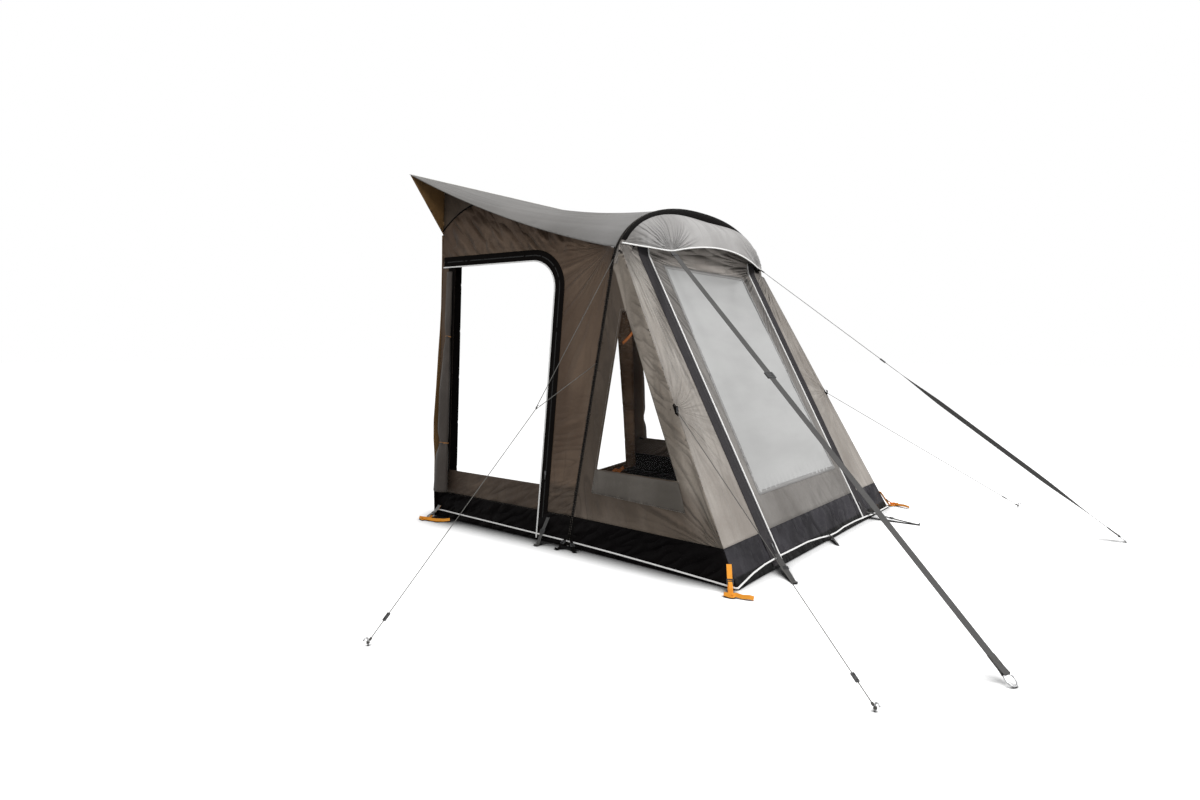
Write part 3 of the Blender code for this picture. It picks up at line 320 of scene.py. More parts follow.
# Painted light: a warm orange-brown for daylight shining through the gussets and the flaps at the caravan.
PAINTED_BACKLIGHT_CLOTH = cloth("painted_backlight_cloth", (0.135, 0.075, 0.028), (0.205, 0.12, 0.05))
VISOR = cloth("visor_cloth", (0.275, 0.266, 0.26), (0.38, 0.371, 0.364), fold=(0.16, 0.5, 0.5), crumple=0.008,
              line=0.3, patches=(visor_ends_painted_shade,), layers=VISOR_LAYERS)
SKIRT_LAYERS = ((lambda made: made.folds((0.3, 0.1, 0.34), (1.05, 0, 0)), 0.09),)
SKIRT = cloth("skirt_cloth", (0.0024, 0.0019, 0.002), (0.0056, 0.0047, 0.0048), 0.5, 0.0, (0.3, 0.22, 0.7),
              1.15, 0.03, 0.0, 1.1, layers=SKIRT_LAYERS)
PAD_CLOTH = cloth("pad_cloth", (0.0035, 0.0028, 0.0026), (0.006, 0.005, 0.0048), 0.75, 0.0, crumple=0.002,
                  ior=1.05)
PAD_BROWN = cloth("pad_brown_cloth", (0.046, 0.027, 0.016), (0.104, 0.066, 0.042), 0.75, 0.0,
                  fold=(0.4, 0.4, 0.1), crumple=0.03, ior=1.06)
ROLL_CLOTH = cloth("roll_cloth", (0.055, 0.046, 0.04), (0.12, 0.104, 0.092), crumple=0.01)
print("cloth finishes:", len([m for m in bpy.data.materials if m.name.endswith("cloth")]))

# %% [markdown]
# ## Webbing, tape, piping and cord
#
# Woven goods show their ribs. Webbing has a rib every 2 mm across its width, zip tape has a herringbone,
# piping is a smooth cord in white tape, and guy line is a tight braid.

# %% Woven finishes
def woven(name, dark, light, ribs, roughness=0.72, depth=0.0008, strength=0.5, ior=1.28):
    made = Finish(name, roughness, ior=ior)
    soil = made.cloud(9.0, 3.0)
    rows = made.ribs("DIAGONAL", ribs) * 0.5 + made.ribs("Z", ribs) * 0.5
    shade = made.step(soil * 0.5 + rows * 0.5, 0.25, 0.75)
    made.set(base_color=made.mix(shade, dark, light))
    made.set(roughness=roughness - 0.08 + 0.16 * soil)
    made.bump(rows, strength, depth)
    return made.material


WEBBING = woven("grey_webbing", (0.058, 0.057, 0.056), (0.092, 0.09, 0.088), 90.0)
PALE_WEBBING = woven("pale_webbing", (0.2, 0.198, 0.19), (0.32, 0.316, 0.305), 90.0)
ZIP_TAPE = woven("zip_tape", (0.024, 0.022, 0.024), (0.044, 0.041, 0.043), 140.0, ior=1.18)
DOOR_TAPE = woven("door_zip_tape", (0.004, 0.0033, 0.003), (0.0075, 0.0062, 0.0058), 140.0, ior=1.08)
SLEEVE = woven("sleeve_cloth", (0.0035, 0.0031, 0.0029), (0.0075, 0.0068, 0.0065), 120.0, 0.6, ior=1.08)
PIPING = woven("white_piping", (0.78, 0.775, 0.76), (0.9, 0.895, 0.885), 60.0, 0.6, 0.0003, 0.3)
GUY_LINE = woven("guy_line", (0.075, 0.072, 0.067), (0.135, 0.131, 0.123), 220.0, 0.7, 0.0004)
ORANGE = woven("orange_webbing", (0.82, 0.3, 0.02), (0.93, 0.4, 0.055), 90.0, 0.6)
THREAD = woven("thread", (0.12, 0.105, 0.09), (0.2, 0.18, 0.16), 200.0, 0.7, 0.0002)
TAG = woven("shaded_orange_webbing", (0.4, 0.11, 0.02), (0.54, 0.17, 0.04), 90.0, 0.6)
TIE_TAPE = woven("tie_tape", (0.3, 0.13, 0.04), (0.42, 0.21, 0.08), 90.0, 0.6)
PALE_THREAD = woven("pale_thread", (0.3, 0.285, 0.26), (0.4, 0.385, 0.36), 200.0, 0.7, 0.0002)
BEAD_TAPE = woven("bead_tape", (0.52, 0.51, 0.48), (0.64, 0.63, 0.6), 80.0, 0.55, 0.0004)
print("woven finishes:", WEBBING.name, ZIP_TAPE.name, PIPING.name)

# %% [markdown]
# ## Film, plastic and metal
#
# The front window is a hazy grey film that hides most of the inside, with a milky mottle and soft sags across
# it. The triangular windows are clearer. Moulded plastic has a faint grain, and its edges are rubbed paler.
# Pegs and ground rings are plated steel with duller patches.

# %% Film, plastic and metal finishes
def film(name, dark, light, alpha, haze, roughness=0.16):
    made = Finish(name, roughness, specular_ior_level=0.5)
    mottle = made.cloud(1.4, 3.0, made.stretch((1.0, 1.0, 0.31)))
    streak = made.cloud(5.0, 4.0, made.stretch((1.4, 1.4, 0.2)))
    made.set(base_color=made.mix(made.step(mottle, 0.35, 0.65), dark, light))
    made.set(alpha=alpha + haze * made.step(mottle * 0.6 + streak * 0.4, 0.3, 0.7))
    made.set(roughness=roughness + 0.14 * streak)
    made.bump(mottle * 0.7 + streak * 0.3, 0.25, 0.006)
    return made.material


def moulded(name, dark, light, roughness=0.42):
    made = Finish(name, roughness)
    edge = made.node("ShaderNodeNewGeometry", output="Pointiness")
    grain = made.cloud(420.0, 2.0)
    rub = made.step(edge, 0.52, 0.62)
    made.set(base_color=made.mix(rub * 0.7 + grain * 0.2, dark, light))
    made.set(roughness=roughness + 0.12 * grain - 0.08 * rub)
    made.bump(grain, 0.15, 0.0003)
    return made.material


def metal(name, dark, light, roughness=0.28):
    made = Finish(name, roughness, metallic=1.0)
    dull = made.cloud(60.0, 4.0)
    made.set(base_color=made.mix(made.step(dull, 0.35, 0.7), light, dark))
    made.set(roughness=roughness + 0.25 * dull)
    made.bump(made.cloud(300.0, 2.0), 0.08, 0.0003)
    return made.material


WINDOW_FILM = film("window_film", (0.362, 0.362, 0.357), (0.398, 0.398, 0.393), 0.955, 0.03)
BORDER_FILM = film("window_border_film", (0.19, 0.185, 0.18), (0.24, 0.235, 0.23), 0.96, 0.03, 0.35)
CLEAR_FILM = film("clear_film", (0.06, 0.06, 0.059), (0.09, 0.09, 0.088), 0.015, 0.02, 0.08)
BLACK_PLASTIC = moulded("black_plastic", (0.012, 0.012, 0.013), (0.06, 0.06, 0.062))
GREY_PLASTIC = moulded("grey_plastic", (0.03, 0.03, 0.031), (0.1, 0.1, 0.102))
STEEL = metal("plated_steel", (0.33, 0.33, 0.335), (0.56, 0.56, 0.565))
COIL = moulded("zip_coil", (0.005, 0.005, 0.005), (0.012, 0.012, 0.012))
ZIP_METAL = metal("zip_slider_metal", (0.06, 0.06, 0.062), (0.16, 0.16, 0.165), 0.38)
BEAM_SKIN = moulded("beam_skin", (0.12, 0.12, 0.128), (0.2, 0.2, 0.21), 0.38)
print("film:", WINDOW_FILM.name, "and hard finishes:", BLACK_PLASTIC.name, STEEL.name)

# %% [markdown]
# ## The awning's shape as functions
#
# Sizes are measured as a sewer would: how far *out* from the caravan, and how high. These are the CAD model's
# own sizes, so each sheet of cloth lies where its solid is.

# %% Sizes and surfaces shared with the CAD model
RAIL_HEIGHT, RAIL_HALF, DEPTH = 2.479, 1.453, 2.523
REAR_FOOT_HALF, REAR_HEAD_HALF, REAR_HEAD_HEIGHT = 1.256, 1.166, 2.071
ARCH_FOOT_HALF, ARCH_FOOT_OUT, ARCH_CROWN_OUT = 1.231, 1.31, 1.508
SPRING_HALF, SPRING_HEIGHT, CROWN_HEIGHT, ARCH_POWER = 0.997, 1.72, 2.244, 2.3
FRONT_FOOT_HALF, CREASE_HALF, CREASE_HEIGHT, CREASE_OUT = 1.254, 0.978, 1.867, 1.534
ROOF_ARCH_HALF, ROOF_SAG, ROOF_EDGE_SAG, ROOF_FOLD, ROOF_FOLDS = 0.96, 0.08, 0.062, 0.01, 5
ROOF_SWEEP, CLOTH, SKIRT_HEIGHT = math.pi / 2.6, 0.004, 0.192
SLEEVE_RADIUS, ARCH_INSET = 0.058, 0.052
SIDES = ((-1, "left"), (1, "right"))


def place(out, x, z):
    return Vector((x, CARAVAN_Y - out, z))


def mix(a, b, share):
    return a + (b - a) * share


def smooth(value):
    value = min(max(value, 0.0), 1.0)
    return value * value * (3 - 2 * value)


def arch_out(z):
    return ARCH_FOOT_OUT + (ARCH_CROWN_OUT - ARCH_FOOT_OUT) * z / CROWN_HEIGHT


def front_out(z):
    return DEPTH - (DEPTH - CREASE_OUT) * z / CREASE_HEIGHT


def leg_half(z):
    return ARCH_FOOT_HALF - (ARCH_FOOT_HALF - SPRING_HALF) * z / SPRING_HEIGHT


def rear_half(z):
    return REAR_FOOT_HALF - (REAR_FOOT_HALF - REAR_HEAD_HALF) * z / REAR_HEAD_HEIGHT


def corner_half(z):
    return FRONT_FOOT_HALF - (FRONT_FOOT_HALF - CREASE_HALF) * z / CREASE_HEIGHT


def wall_half(out, z):
    return mix(rear_half(z), leg_half(z), out / arch_out(z))


def side_half(out, z):
    """Half width of the shell's side, before or behind the arch."""
    if out <= arch_out(z):
        return wall_half(out, z)
    return mix(leg_half(z), corner_half(z), (out - arch_out(z)) / max(front_out(z) - arch_out(z), 0.01))


def arch_height(x):
    share = min(abs(x) / SPRING_HALF, 1.0) ** ARCH_POWER
    return SPRING_HEIGHT + (CROWN_HEIGHT - SPRING_HEIGHT) * (1 - share) ** (1 / ARCH_POWER)


def arch_half(z):
    if z <= SPRING_HEIGHT:
        return leg_half(z)
    share = (z - SPRING_HEIGHT) / (CROWN_HEIGHT - SPRING_HEIGHT)
    return SPRING_HALF * (1 - min(share, 1.0) ** ARCH_POWER) ** (1 / ARCH_POWER)


def roof_point(a, b):
    """a runs from the left edge to the right, b from the rail to the arch."""
    spread = math.sin((2 * a - 1) * ROOF_SWEEP) / math.sin(ROOF_SWEEP)
    x = ROOF_ARCH_HALF * spread
    z = arch_height(x)
    point = place(0, RAIL_HALF * spread, RAIL_HEIGHT).lerp(place(arch_out(z), x, z), b)
    edge = min(abs(spread), 1.0) ** 4
    sag = mix(ROOF_SAG, ROOF_EDGE_SAG, edge) * 4 * b * (1 - b)
    fold = ROOF_FOLD * math.sin(spread * math.pi * ROOF_FOLDS) * math.sin(math.pi * b) * (1 - edge)
    return point - Vector((0, 0, sag + fold))


def side_point(side):
    return lambda out, z: place(out, side * side_half(out, z), z)


def front_point(x, z):
    """The sloping front up to its crease, then back up to the arch under the visor."""
    if z <= CREASE_HEIGHT:
        return place(front_out(z), x, z)
    top = arch_height(min(abs(x), CREASE_HALF))
    share = (z - CREASE_HEIGHT) / max(top - CREASE_HEIGHT, 0.001)
    return place(mix(CREASE_OUT, arch_out(top), min(share, 1.0)), x, z)


print("crown", arch_height(0), "spring", SPRING_HEIGHT, "depth", DEPTH)

# %% [markdown]
# ## Making a sheet of cloth from its pattern
#
# A sewn panel starts as a flat pattern. Here the pattern's outline is filled with small triangles, as a
# tailor's chalk grid would be, then each point is laid on the awning's surface and pushed in or out by the
# creases. The pull of a seam holds the cloth still at its edge, so creases fade out there. Solidify then
# gives it a thickness.

# %% Sheet helpers
def resample(path, spacing, closed=True):
    made = []
    for (ax, ay), (bx, by) in zip(path, path[1:] + path[:1] if closed else path[1:]):
        count = max(1, round(math.hypot(bx - ax, by - ay) / spacing))
        made += [(mix(ax, bx, i / count), mix(ay, by, i / count)) for i in range(count)]
    return made if closed else made + [path[-1]]


def inside(points, loop):
    x, y = points[:, 0], points[:, 1]
    hit = np.zeros(len(points), bool)
    for (ax, ay), (bx, by) in zip(loop, loop[1:] + loop[:1]):
        if ay == by:
            continue
        cross = (bx - ax) * (y - ay) / (by - ay) + ax
        hit ^= ((ay > y) != (by > y)) & (x < cross)
    return hit


def edge_distance(points, loops):
    best = np.full(len(points), 1e9)
    for loop in loops:
        for a, b in zip(loop, loop[1:] + loop[:1]):
            a, b = np.array(a), np.array(b)
            run = b - a
            share = np.clip(((points - a) @ run) / max(run @ run, 1e-12), 0, 1)
            best = np.minimum(best, np.linalg.norm(points - a - share[:, None] * run, axis=1))
    return best


def fill(outline, holes=(), spacing=0.03):
    """Points, triangles and distances to the edge of a pattern with holes."""
    loops = [resample(loop, spacing) for loop in (outline, *holes)]
    points, edges = [], []
    for loop in loops:
        first = len(points)
        points += loop
        edges += [(first + i, first + (i + 1) % len(loop)) for i in range(len(loop))]
    low, high = np.min(points, 0), np.max(points, 0)
    rows = []
    for j, v in enumerate(np.arange(low[1], high[1], spacing * 0.87)):
        rows += [(u, v) for u in np.arange(low[0] + (j % 2) * spacing / 2, high[0], spacing)]
    rows = np.array(rows)
    keep = inside(rows, loops[0]) & (edge_distance(rows, loops) > spacing * 0.45)
    for hole in loops[1:]:
        keep &= ~inside(rows, hole)
    points += [tuple(p) for p in rows[keep]]
    made = geometry.delaunay_2d_cdt([Vector(p) for p in points], edges, [], 0, 1e-7)
    flat = np.array([tuple(v) for v in made[0]])
    centres = np.array([flat[list(face)].mean(0) for face in made[2]])
    good = inside(centres, loops[0])
    for hole in loops[1:]:
        good &= ~inside(centres, hole)
    return flat, [tuple(face) for face, ok in zip(made[2], good) if ok], edge_distance(flat, loops)


def mesh_piece(name, points, faces, finish, body=SHELL, rounded=True):
    mesh = bpy.data.meshes.new(name)
    mesh.from_pydata([tuple(p) for p in points], [], faces)
    mesh.materials.append(finish)
    mesh.validate()
    bm = bmesh.new()
    bm.from_mesh(mesh)
    loose = [v for v in bm.verts if not v.link_faces]
    bmesh.ops.delete(bm, geom=loose, context="VERTS")
    bmesh.ops.recalc_face_normals(bm, faces=bm.faces)
    bm.to_mesh(mesh)
    bm.free()
    for face in mesh.polygons:
        face.use_smooth = rounded
    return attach(put(name, mesh), body)


def bake(item):
    """Apply the modifiers, so the piece's mesh is what shows."""
    graph = bpy.context.evaluated_depsgraph_get()
    mesh = bpy.data.meshes.new_from_object(item.evaluated_get(graph))
    item.modifiers.clear()
    item.data = mesh
    return item


def thicken(item, thick, offset=0.0):
    """Give flat cloth its thickness."""
    depth = item.modifiers.new("cloth", "SOLIDIFY")
    depth.thickness, depth.offset = thick, offset
    return bake(item)


def bands(rings, sides, closed=False):
    """Faces between rings of points; closed joins the last ring to the first."""
    faces = []
    for i in range(rings if closed else rings - 1):
        a, b = i * sides, (i + 1) % rings * sides
        faces += [(a + k, a + (k + 1) % sides, b + (k + 1) % sides, b + k) for k in range(sides)]
    return faces


def end_faces(rings, sides):
    return [tuple(reversed(range(sides))), tuple(range((rings - 1) * sides, rings * sides))]


def grid(rows, columns):
    """Faces between rows of points that don't close."""
    return [(j * columns + k, j * columns + k + 1, (j + 1) * columns + k + 1, (j + 1) * columns + k)
            for j in range(rows - 1) for k in range(columns - 1)]


def surface_normal(where, u, v, step=0.004):
    across = where(u + step, v) - where(u - step, v)
    along = where(u, v + step) - where(u, v - step)
    return across.cross(along).normalized()


PATTERNS = {}


def loop_area(loop):
    return abs(sum(a[0] * b[1] - b[0] * a[1] for a, b in zip(loop, loop[1:] + loop[:1]))) / 2


SHEET_THICK, FILM_THICK = 0.0016, 0.0008


def sheet(name, outline, where, finish, holes=(), crease=None, facing=None, spacing=0.03, thick=SHEET_THICK,
          hold=0.06, sink=0.0, settle=None):
    """A panel of cloth. crease(u, v) is how far a point stands proud, and facing points roughly outwards."""
    flat, faces, rim = fill(outline, holes, spacing)
    span = np.ptp(flat, axis=0)
    PATTERNS[name] = (round(float(span[0]), 3), round(float(span[1]), 3),
                      round(loop_area(outline) - sum(loop_area(hole) for hole in holes), 4))
    points = []
    for (u, v), distance in zip(flat, rim):
        normal = surface_normal(where, u, v)
        if facing is not None and normal.dot(facing) < 0:
            normal = -normal
        push = (crease(u, v) * smooth(distance / hold) if crease else 0.0) - sink - thick / 2
        point = where(u, v) + normal * push
        points.append(settle(point) if settle else point)
    return thicken(mesh_piece(name, points, faces, finish), thick)


def cut_from_pattern(item, *rests_on, held="stretched", band=None):
    """Work out the size of the pattern a sheet was filled from, a band by its own width; the size is not used
    further.
    """
    width, length, area = PATTERNS[item.name]
    flat = (band, round(area / band, 3)) if band else (width, length)


def ripples(u, v, angle, across, along, height, seed):
    """Long creases in one direction: short across, long along, never quite even."""
    c, s = math.cos(angle), math.sin(angle)
    p, q = u * c + v * s, v * c - u * s
    value = noise.noise(Vector((p / along, q / across, seed)))
    return height * (2.2 * abs(value) - 0.4)


def pulls(u, v, anchor, spokes, reach, height, seed):
    """Creases that spread from a pull, such as a peg or a strap."""
    du, dv = u - anchor[0], v - anchor[1]
    far = math.hypot(du, dv)
    angle = math.atan2(dv, du) + 0.15 * noise.noise(Vector((far * 3, seed, 0)))
    wave = math.sin(angle * spokes + seed * 5) * (0.6 + 0.8 * noise.noise(Vector((angle * 2, seed, 3))))
    return height * wave * math.exp(-far / reach) * min(far / (0.25 * reach), 1.0)


def tube(name, points, radius, finish, body=SHELL, sides=8, closed=False):
    """A round tube through points; radius may be a number or one per point."""
    points = [Vector(p) for p in points]
    count = len(points)
    radii = [radius] * count if isinstance(radius, (int, float)) else radius
    heading = [(points[(i + 1) % count if closed else min(i + 1, count - 1)]
                - points[(i - 1) % count if closed else max(i - 1, 0)]).normalized() for i in range(count)]
    side = heading[0].orthogonal().normalized()
    made = []
    for point, run, size in zip(points, heading, radii):
        side = (side - run * side.dot(run)).normalized()
        other = run.cross(side)
        made += [point + (side * math.cos(2 * math.pi * k / sides) + other
                          * math.sin(2 * math.pi * k / sides)) * size for k in range(sides)]
    faces = bands(count, sides, closed) + ([] if closed else end_faces(count, sides))
    return mesh_piece(name, made, faces, finish, body)


def ribbon(name, points, ups, width, thick, finish):
    """A flat strap along points, whose face looks along ups."""
    made = []
    count = len(points)
    for i, (point, face_way) in enumerate(zip(points, ups)):
        run = (points[min(i + 1, count - 1)] - points[max(i - 1, 0)]).normalized()
        across = run.cross(face_way).normalized()
        lift = across.cross(run).normalized()
        for u, v in ((-.5, -.3), (-.47, -.5), (.47, -.5), (.5, -.3), (.5, .3), (.47, .5), (-.47, .5),
                     (-.5, .3)):
            made.append(point + across * u * width + lift * v * thick)
    return mesh_piece(name, made, bands(count, 8) + end_faces(count, 8), finish, rounded=False)


def run(start, end, steps):
    return [start.lerp(end, i / steps) for i in range(steps + 1)]


def frame_at(origin, along, up=UP):
    x_axis = along.normalized()
    y_axis = up.cross(x_axis).normalized()
    turn = Matrix((x_axis, y_axis, x_axis.cross(y_axis))).transposed().to_4x4()
    return Matrix.Translation(origin) @ turn


def box(name, size, at=(0, 0, 0)):
    bm = bmesh.new()
    bmesh.ops.create_cube(bm, size=1.0)
    bmesh.ops.scale(bm, vec=size, verts=bm.verts)
    bmesh.ops.translate(bm, vec=at, verts=bm.verts)
    mesh = bpy.data.meshes.new(name)
    bm.to_mesh(mesh)
    bm.free()
    return put(name, mesh)


def rounded_block(name, size, soft, finish, matrix, body, holes=()):
    """A moulded block with rounded edges and optional openings cut from it."""
    item = box(name, size)
    item.data.materials.append(finish)
    cutters = []
    for hole_size, hole_at in holes:
        cutter = box("cutter", hole_size, hole_at)
        step = item.modifiers.new("opening", "BOOLEAN")
        step.operation, step.solver, step.object = "DIFFERENCE", "EXACT", cutter
        cutters.append(cutter)
    edge = item.modifiers.new("edges", "BEVEL")
    edge.width, edge.segments, edge.limit_method, edge.angle_limit = soft, 3, "ANGLE", math.radians(35)
    bake(item)
    for cutter in cutters:
        bpy.data.objects.remove(cutter)
    for face in item.data.polygons:
        face.use_smooth = True
    item.matrix_world = matrix
    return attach(item, body)


def stitches(name, rows, finish, gap=0.009, length=0.006, radius=0.0005):
    """Rows of short raised stitches along polylines, as one piece."""
    made, faces = [], []
    for row in rows:
        lengths = [(b - a).length for a, b in zip(row, row[1:])]
        total, index, passed = sum(lengths), 0, 0.0
        at = gap / 2
        while at + length < total:
            ends = []
            for target in (at, at + length):
                while index < len(lengths) - 1 and passed + lengths[index] < target:
                    passed += lengths[index]
                    index += 1
                share = (target - passed) / max(lengths[index], 1e-9)
                ends.append(row[index].lerp(row[index + 1], share))
            heading = (ends[1] - ends[0]).normalized()
            side = heading.orthogonal().normalized()
            other = heading.cross(side)
            first = len(made)
            for end in ends:
                made += [end + side * radius, end + other * radius, end - side * radius, end - other * radius]
            faces += [tuple(first + k for k in face) for face in bands(2, 4) + end_faces(2, 4)]
            at += gap + length
    return mesh_piece(name, made, faces, finish)


print("sheet helpers ready")

# %% [markdown]
# ## Storm straps
#
# Two grey webbing straps pull the visor's points down to ground rings in front. Each is a flat ribbon with a
# soft edge, a ladder buckle that slides on it, a hook at the visor and a sewn loop round its ring. They are
# drawn taut, because a slack storm strap would not hold the awning.

# %% Storm straps with their loops, hooks, buckles and rings
STRAP_WIDTH, STRAP_THICKNESS = 0.04, 0.0025
VISOR_POINT = (1.664, 0.616, 1.898)
RING_RADIUS, RING_WIRE, RING_LIFT, GAP = 0.026, 0.0035, 0.001, 0.0003
STRAPS = {"left": (-1, (-1.536, 3.84), 0.0014, 1.24, 0.0), "right": (1, (1.235, 4.06), 0.0001, 1.18, -0.85)}
BUCKLE_BAR, BUCKLE_WINDOW, BUCKLE_THICKNESS, STRAP_LOOP = 0.007, 0.0125, 0.0095, 0.075


def ring_points(matrix, radius, steps):
    return [matrix @ Vector((radius * math.cos(2 * math.pi * i / steps),
                             radius * math.sin(2 * math.pi * i / steps), 0)) for i in range(steps)]


def storm_strap(word, side, peg, begin, buckle_run, twist):
    point = place(VISOR_POINT[0], side * VISOR_POINT[1], VISOR_POINT[2])
    ground = place(peg[1], peg[0], 0)
    along = (ground - point).normalized()
    centre = ground - along * (RING_RADIUS * -along.z + RING_WIRE + RING_LIFT) / -along.z
    start, end = point + along * begin, centre - along * (RING_RADIUS + RING_WIRE + GAP)
    seat = frame_at(start, along)
    lift = (seat.to_3x3() @ UP).normalized()
    path = run(start, end, 60)
    across, ways = along.cross(lift).normalized(), []
    for point_on in path:
        far = (point_on - start).length
        left = (end - start).length - far
        angle = twist * smooth((far - buckle_run - 0.1) / 0.45) * smooth((left - 0.12) / 0.5)
        ways.append(lift * math.cos(angle) + across * math.sin(angle))
    strap = ribbon("storm_strap_piece_" + word, path, ways, STRAP_WIDTH, STRAP_THICKNESS, WEBBING)
    ring = tube("storm_ring_piece_" + word, ring_points(frame_at(centre, along), RING_RADIUS, 48), RING_WIRE,
                STEEL, "ring_" + word, 12, closed=True)
    loop = [end - along * STRAP_LOOP - lift * 0.0026, end - along * 0.02 - lift * 0.003,
            end + along * 0.0005 - lift * 0.005]
    loop += [centre - along * (RING_RADIUS - 0.0075 * math.sin(a)) - lift * 0.0062 * math.cos(a)
             for a in np.linspace(0.2, math.pi - 0.2, 7)]
    loop += [end + along * 0.0005 + lift * 0.005, end - along * 0.02 + lift * 0.003,
             end - along * STRAP_LOOP + lift * 0.0026]
    turn = len(loop) - 1
    ways = [(-lift * math.cos(math.pi * i / turn) + along * math.sin(math.pi * i / turn))
            for i in range(len(loop))]
    sewn = ribbon("storm_strap_loop_" + word, loop, ways, STRAP_WIDTH * 0.98, STRAP_THICKNESS * 0.7, WEBBING)
    wide = STRAP_WIDTH + 0.0008
    long = 3 * BUCKLE_BAR + 2 * BUCKLE_WINDOW
    holes = [((BUCKLE_WINDOW, wide - 2 * BUCKLE_BAR, 0.03), (s * (BUCKLE_WINDOW + BUCKLE_BAR) / 2, 0, 0))
             for s in (-1, 1)] + [((2 * long, wide, STRAP_THICKNESS + 0.0008), (0, 0, 0))]
    buckle = rounded_block("strap_buckle_piece_" + word, (long, wide + 2 * BUCKLE_BAR, BUCKLE_THICKNESS),
                           0.0016, BLACK_PLASTIC, frame_at(start + along * buckle_run, along), "buckle_"
                           + word, holes)
    hook = rounded_block("visor_hook_" + word, (0.02, wide + 0.01, 0.0085), 0.002, BLACK_PLASTIC,
                         frame_at(start + along * 0.045, along), SHELL, [((0.05, wide, 0.0034), (0, 0, 0))])
    rows = []
    for s in (-1, 1):
        edge = (along.cross(lift)).normalized() * s * STRAP_WIDTH * 0.36
        rows.append([p + edge + lift * 0.0042 for p in (end - along * 0.068, end - along * 0.022)])
        rows.append([end - along * 0.068 + edge + lift * 0.0042, end - along * 0.022 - edge + lift * 0.0042])
    seam = stitches("storm_strap_stitches_" + word, rows, THREAD, 0.002, 0.004, 0.0005)
    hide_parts("storm_strap_" + word)
    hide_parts("storm_ring_" + word)
    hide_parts("strap_buckle_" + word)
    length = (end - start).length
    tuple(start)
    print("storm strap", word, round(length, 3), "m")


for word, (side, peg, begin, buckle_run, twist) in STRAPS.items():
    storm_strap(word, side, peg, begin, buckle_run, twist)

# %% [markdown]
# ## Guy lines
#
# Each side has a Y-shaped guy: an upper loop from two points on the arch runs through a ring, and one lower
# line goes on to a peg. A corner guy holds each front corner. Lines are curves with a round bevel, which stay
# light and editable. Each ends in turns round a hooked peg, because a line that just stops would look cut.

# %% Guy lines, rings, knots, tensioners and pegs
GUY_RADIUS, GUY_BEND = 0.002, 0.009
PEG_RADIUS, PEG_RISE, PEG_HOOK, PEG_TIE = 0.0035, 0.034, 0.018, 0.012
SIDE_RING, SIDE_PEG, SIDE_TOP, SIDE_TAB = (1.523, 1.745, 0.92), (1.648, 2.878), 1.83, 1.17
CORNER_PEGS, CORNER_HEIGHT = {-1: (-2.048, 3.485), 1: (1.95, 3.329)}, 0.91
TENSIONER, TENSIONER_RUN = (0.04, 0.016, 0.0085), 0.12


def line(name, points):
    data = bpy.data.curves.new(name, "CURVE")
    data.dimensions, data.bevel_depth, data.bevel_resolution, data.use_fill_caps = "3D", GUY_RADIUS, 3, True
    spline = data.splines.new("POLY")
    spline.points.add(len(points) - 1)
    for at, point in zip(spline.points, points):
        at.co = (*point, 1.0)
    data.materials.append(GUY_LINE)
    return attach(put(name, data), SHELL)


def length_of(points):
    return sum((b - a).length for a, b in zip(points, points[1:]))


def turns(name, centre, axis, radius, count, pitch):
    """A few turns of line wound round an axis."""
    side = axis.orthogonal().normalized()
    other = axis.cross(side).normalized()
    steps = int(count * 16)
    points = [centre + (side * math.cos(2 * math.pi * i / 16) + other * math.sin(2 * math.pi * i / 16))
              * radius + axis * pitch * i / 16 for i in range(steps + 1)]
    return tube(name, points, GUY_RADIUS, GUY_LINE, SHELL, 7)


def tie_down(kind, word, guy_name, start, foot):
    """One straight line from start to a peg, with its knot, tensioner and peg."""
    tie = foot + UP * PEG_TIE
    along = (tie - start).normalized()
    back = (PEG_RADIUS + GAP + GUY_RADIUS * abs(along.z)) / math.hypot(along.x, along.y)
    end = tie - along * back
    points = run(start, end, 20)
    guy = line(guy_name + "_piece_" + word, points)
    flat = Vector((along.x, along.y, 0)).normalized()
    top = foot + UP * PEG_RISE
    bend = [foot, foot + UP * 0.012, top - UP * 0.01, top - UP * 0.004 + flat * 0.0015, top + flat * 0.007,
            top + flat * 0.012, top + flat * (PEG_HOOK - 0.001) - UP * 0.001, top + flat * (PEG_HOOK + 0.003)
            - UP * 0.0045, top + flat * (PEG_HOOK + 0.0035) - UP * 0.009]
    peg = tube(kind + "_peg_piece_" + word, bend, PEG_RADIUS, STEEL, SHELL, 12)
    knot = turns(kind + "_peg_knot_" + word, tie - UP * 0.005, UP, PEG_RADIUS + GUY_RADIUS * 0.9, 2.5, 0.0042)
    hitch = turns(kind + "_hitch_" + word, end - along * 0.016, along, GUY_RADIUS * 1.9, 3.0, 0.0036)
    body = kind + "_tensioner_" + word + "_body"
    seat = frame_at(end - along * TENSIONER_RUN, along)
    holes = [((0.006, 0.007, 0.02), (0.011, 0, 0)), ((0.006, 0.007, 0.02), (-0.011, 0, 0))]
    grip = rounded_block(kind + "_tensioner_piece_" + word, TENSIONER, 0.0018, GREY_PLASTIC, seat, body,
                         holes)
    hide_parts(guy_name + "_" + word)
    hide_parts(kind + "_guy_peg_" + word)
    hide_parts(kind + "_tensioner_" + word)
    length_of(points)
    print(guy_name, word, round(length_of(points), 3), "m")


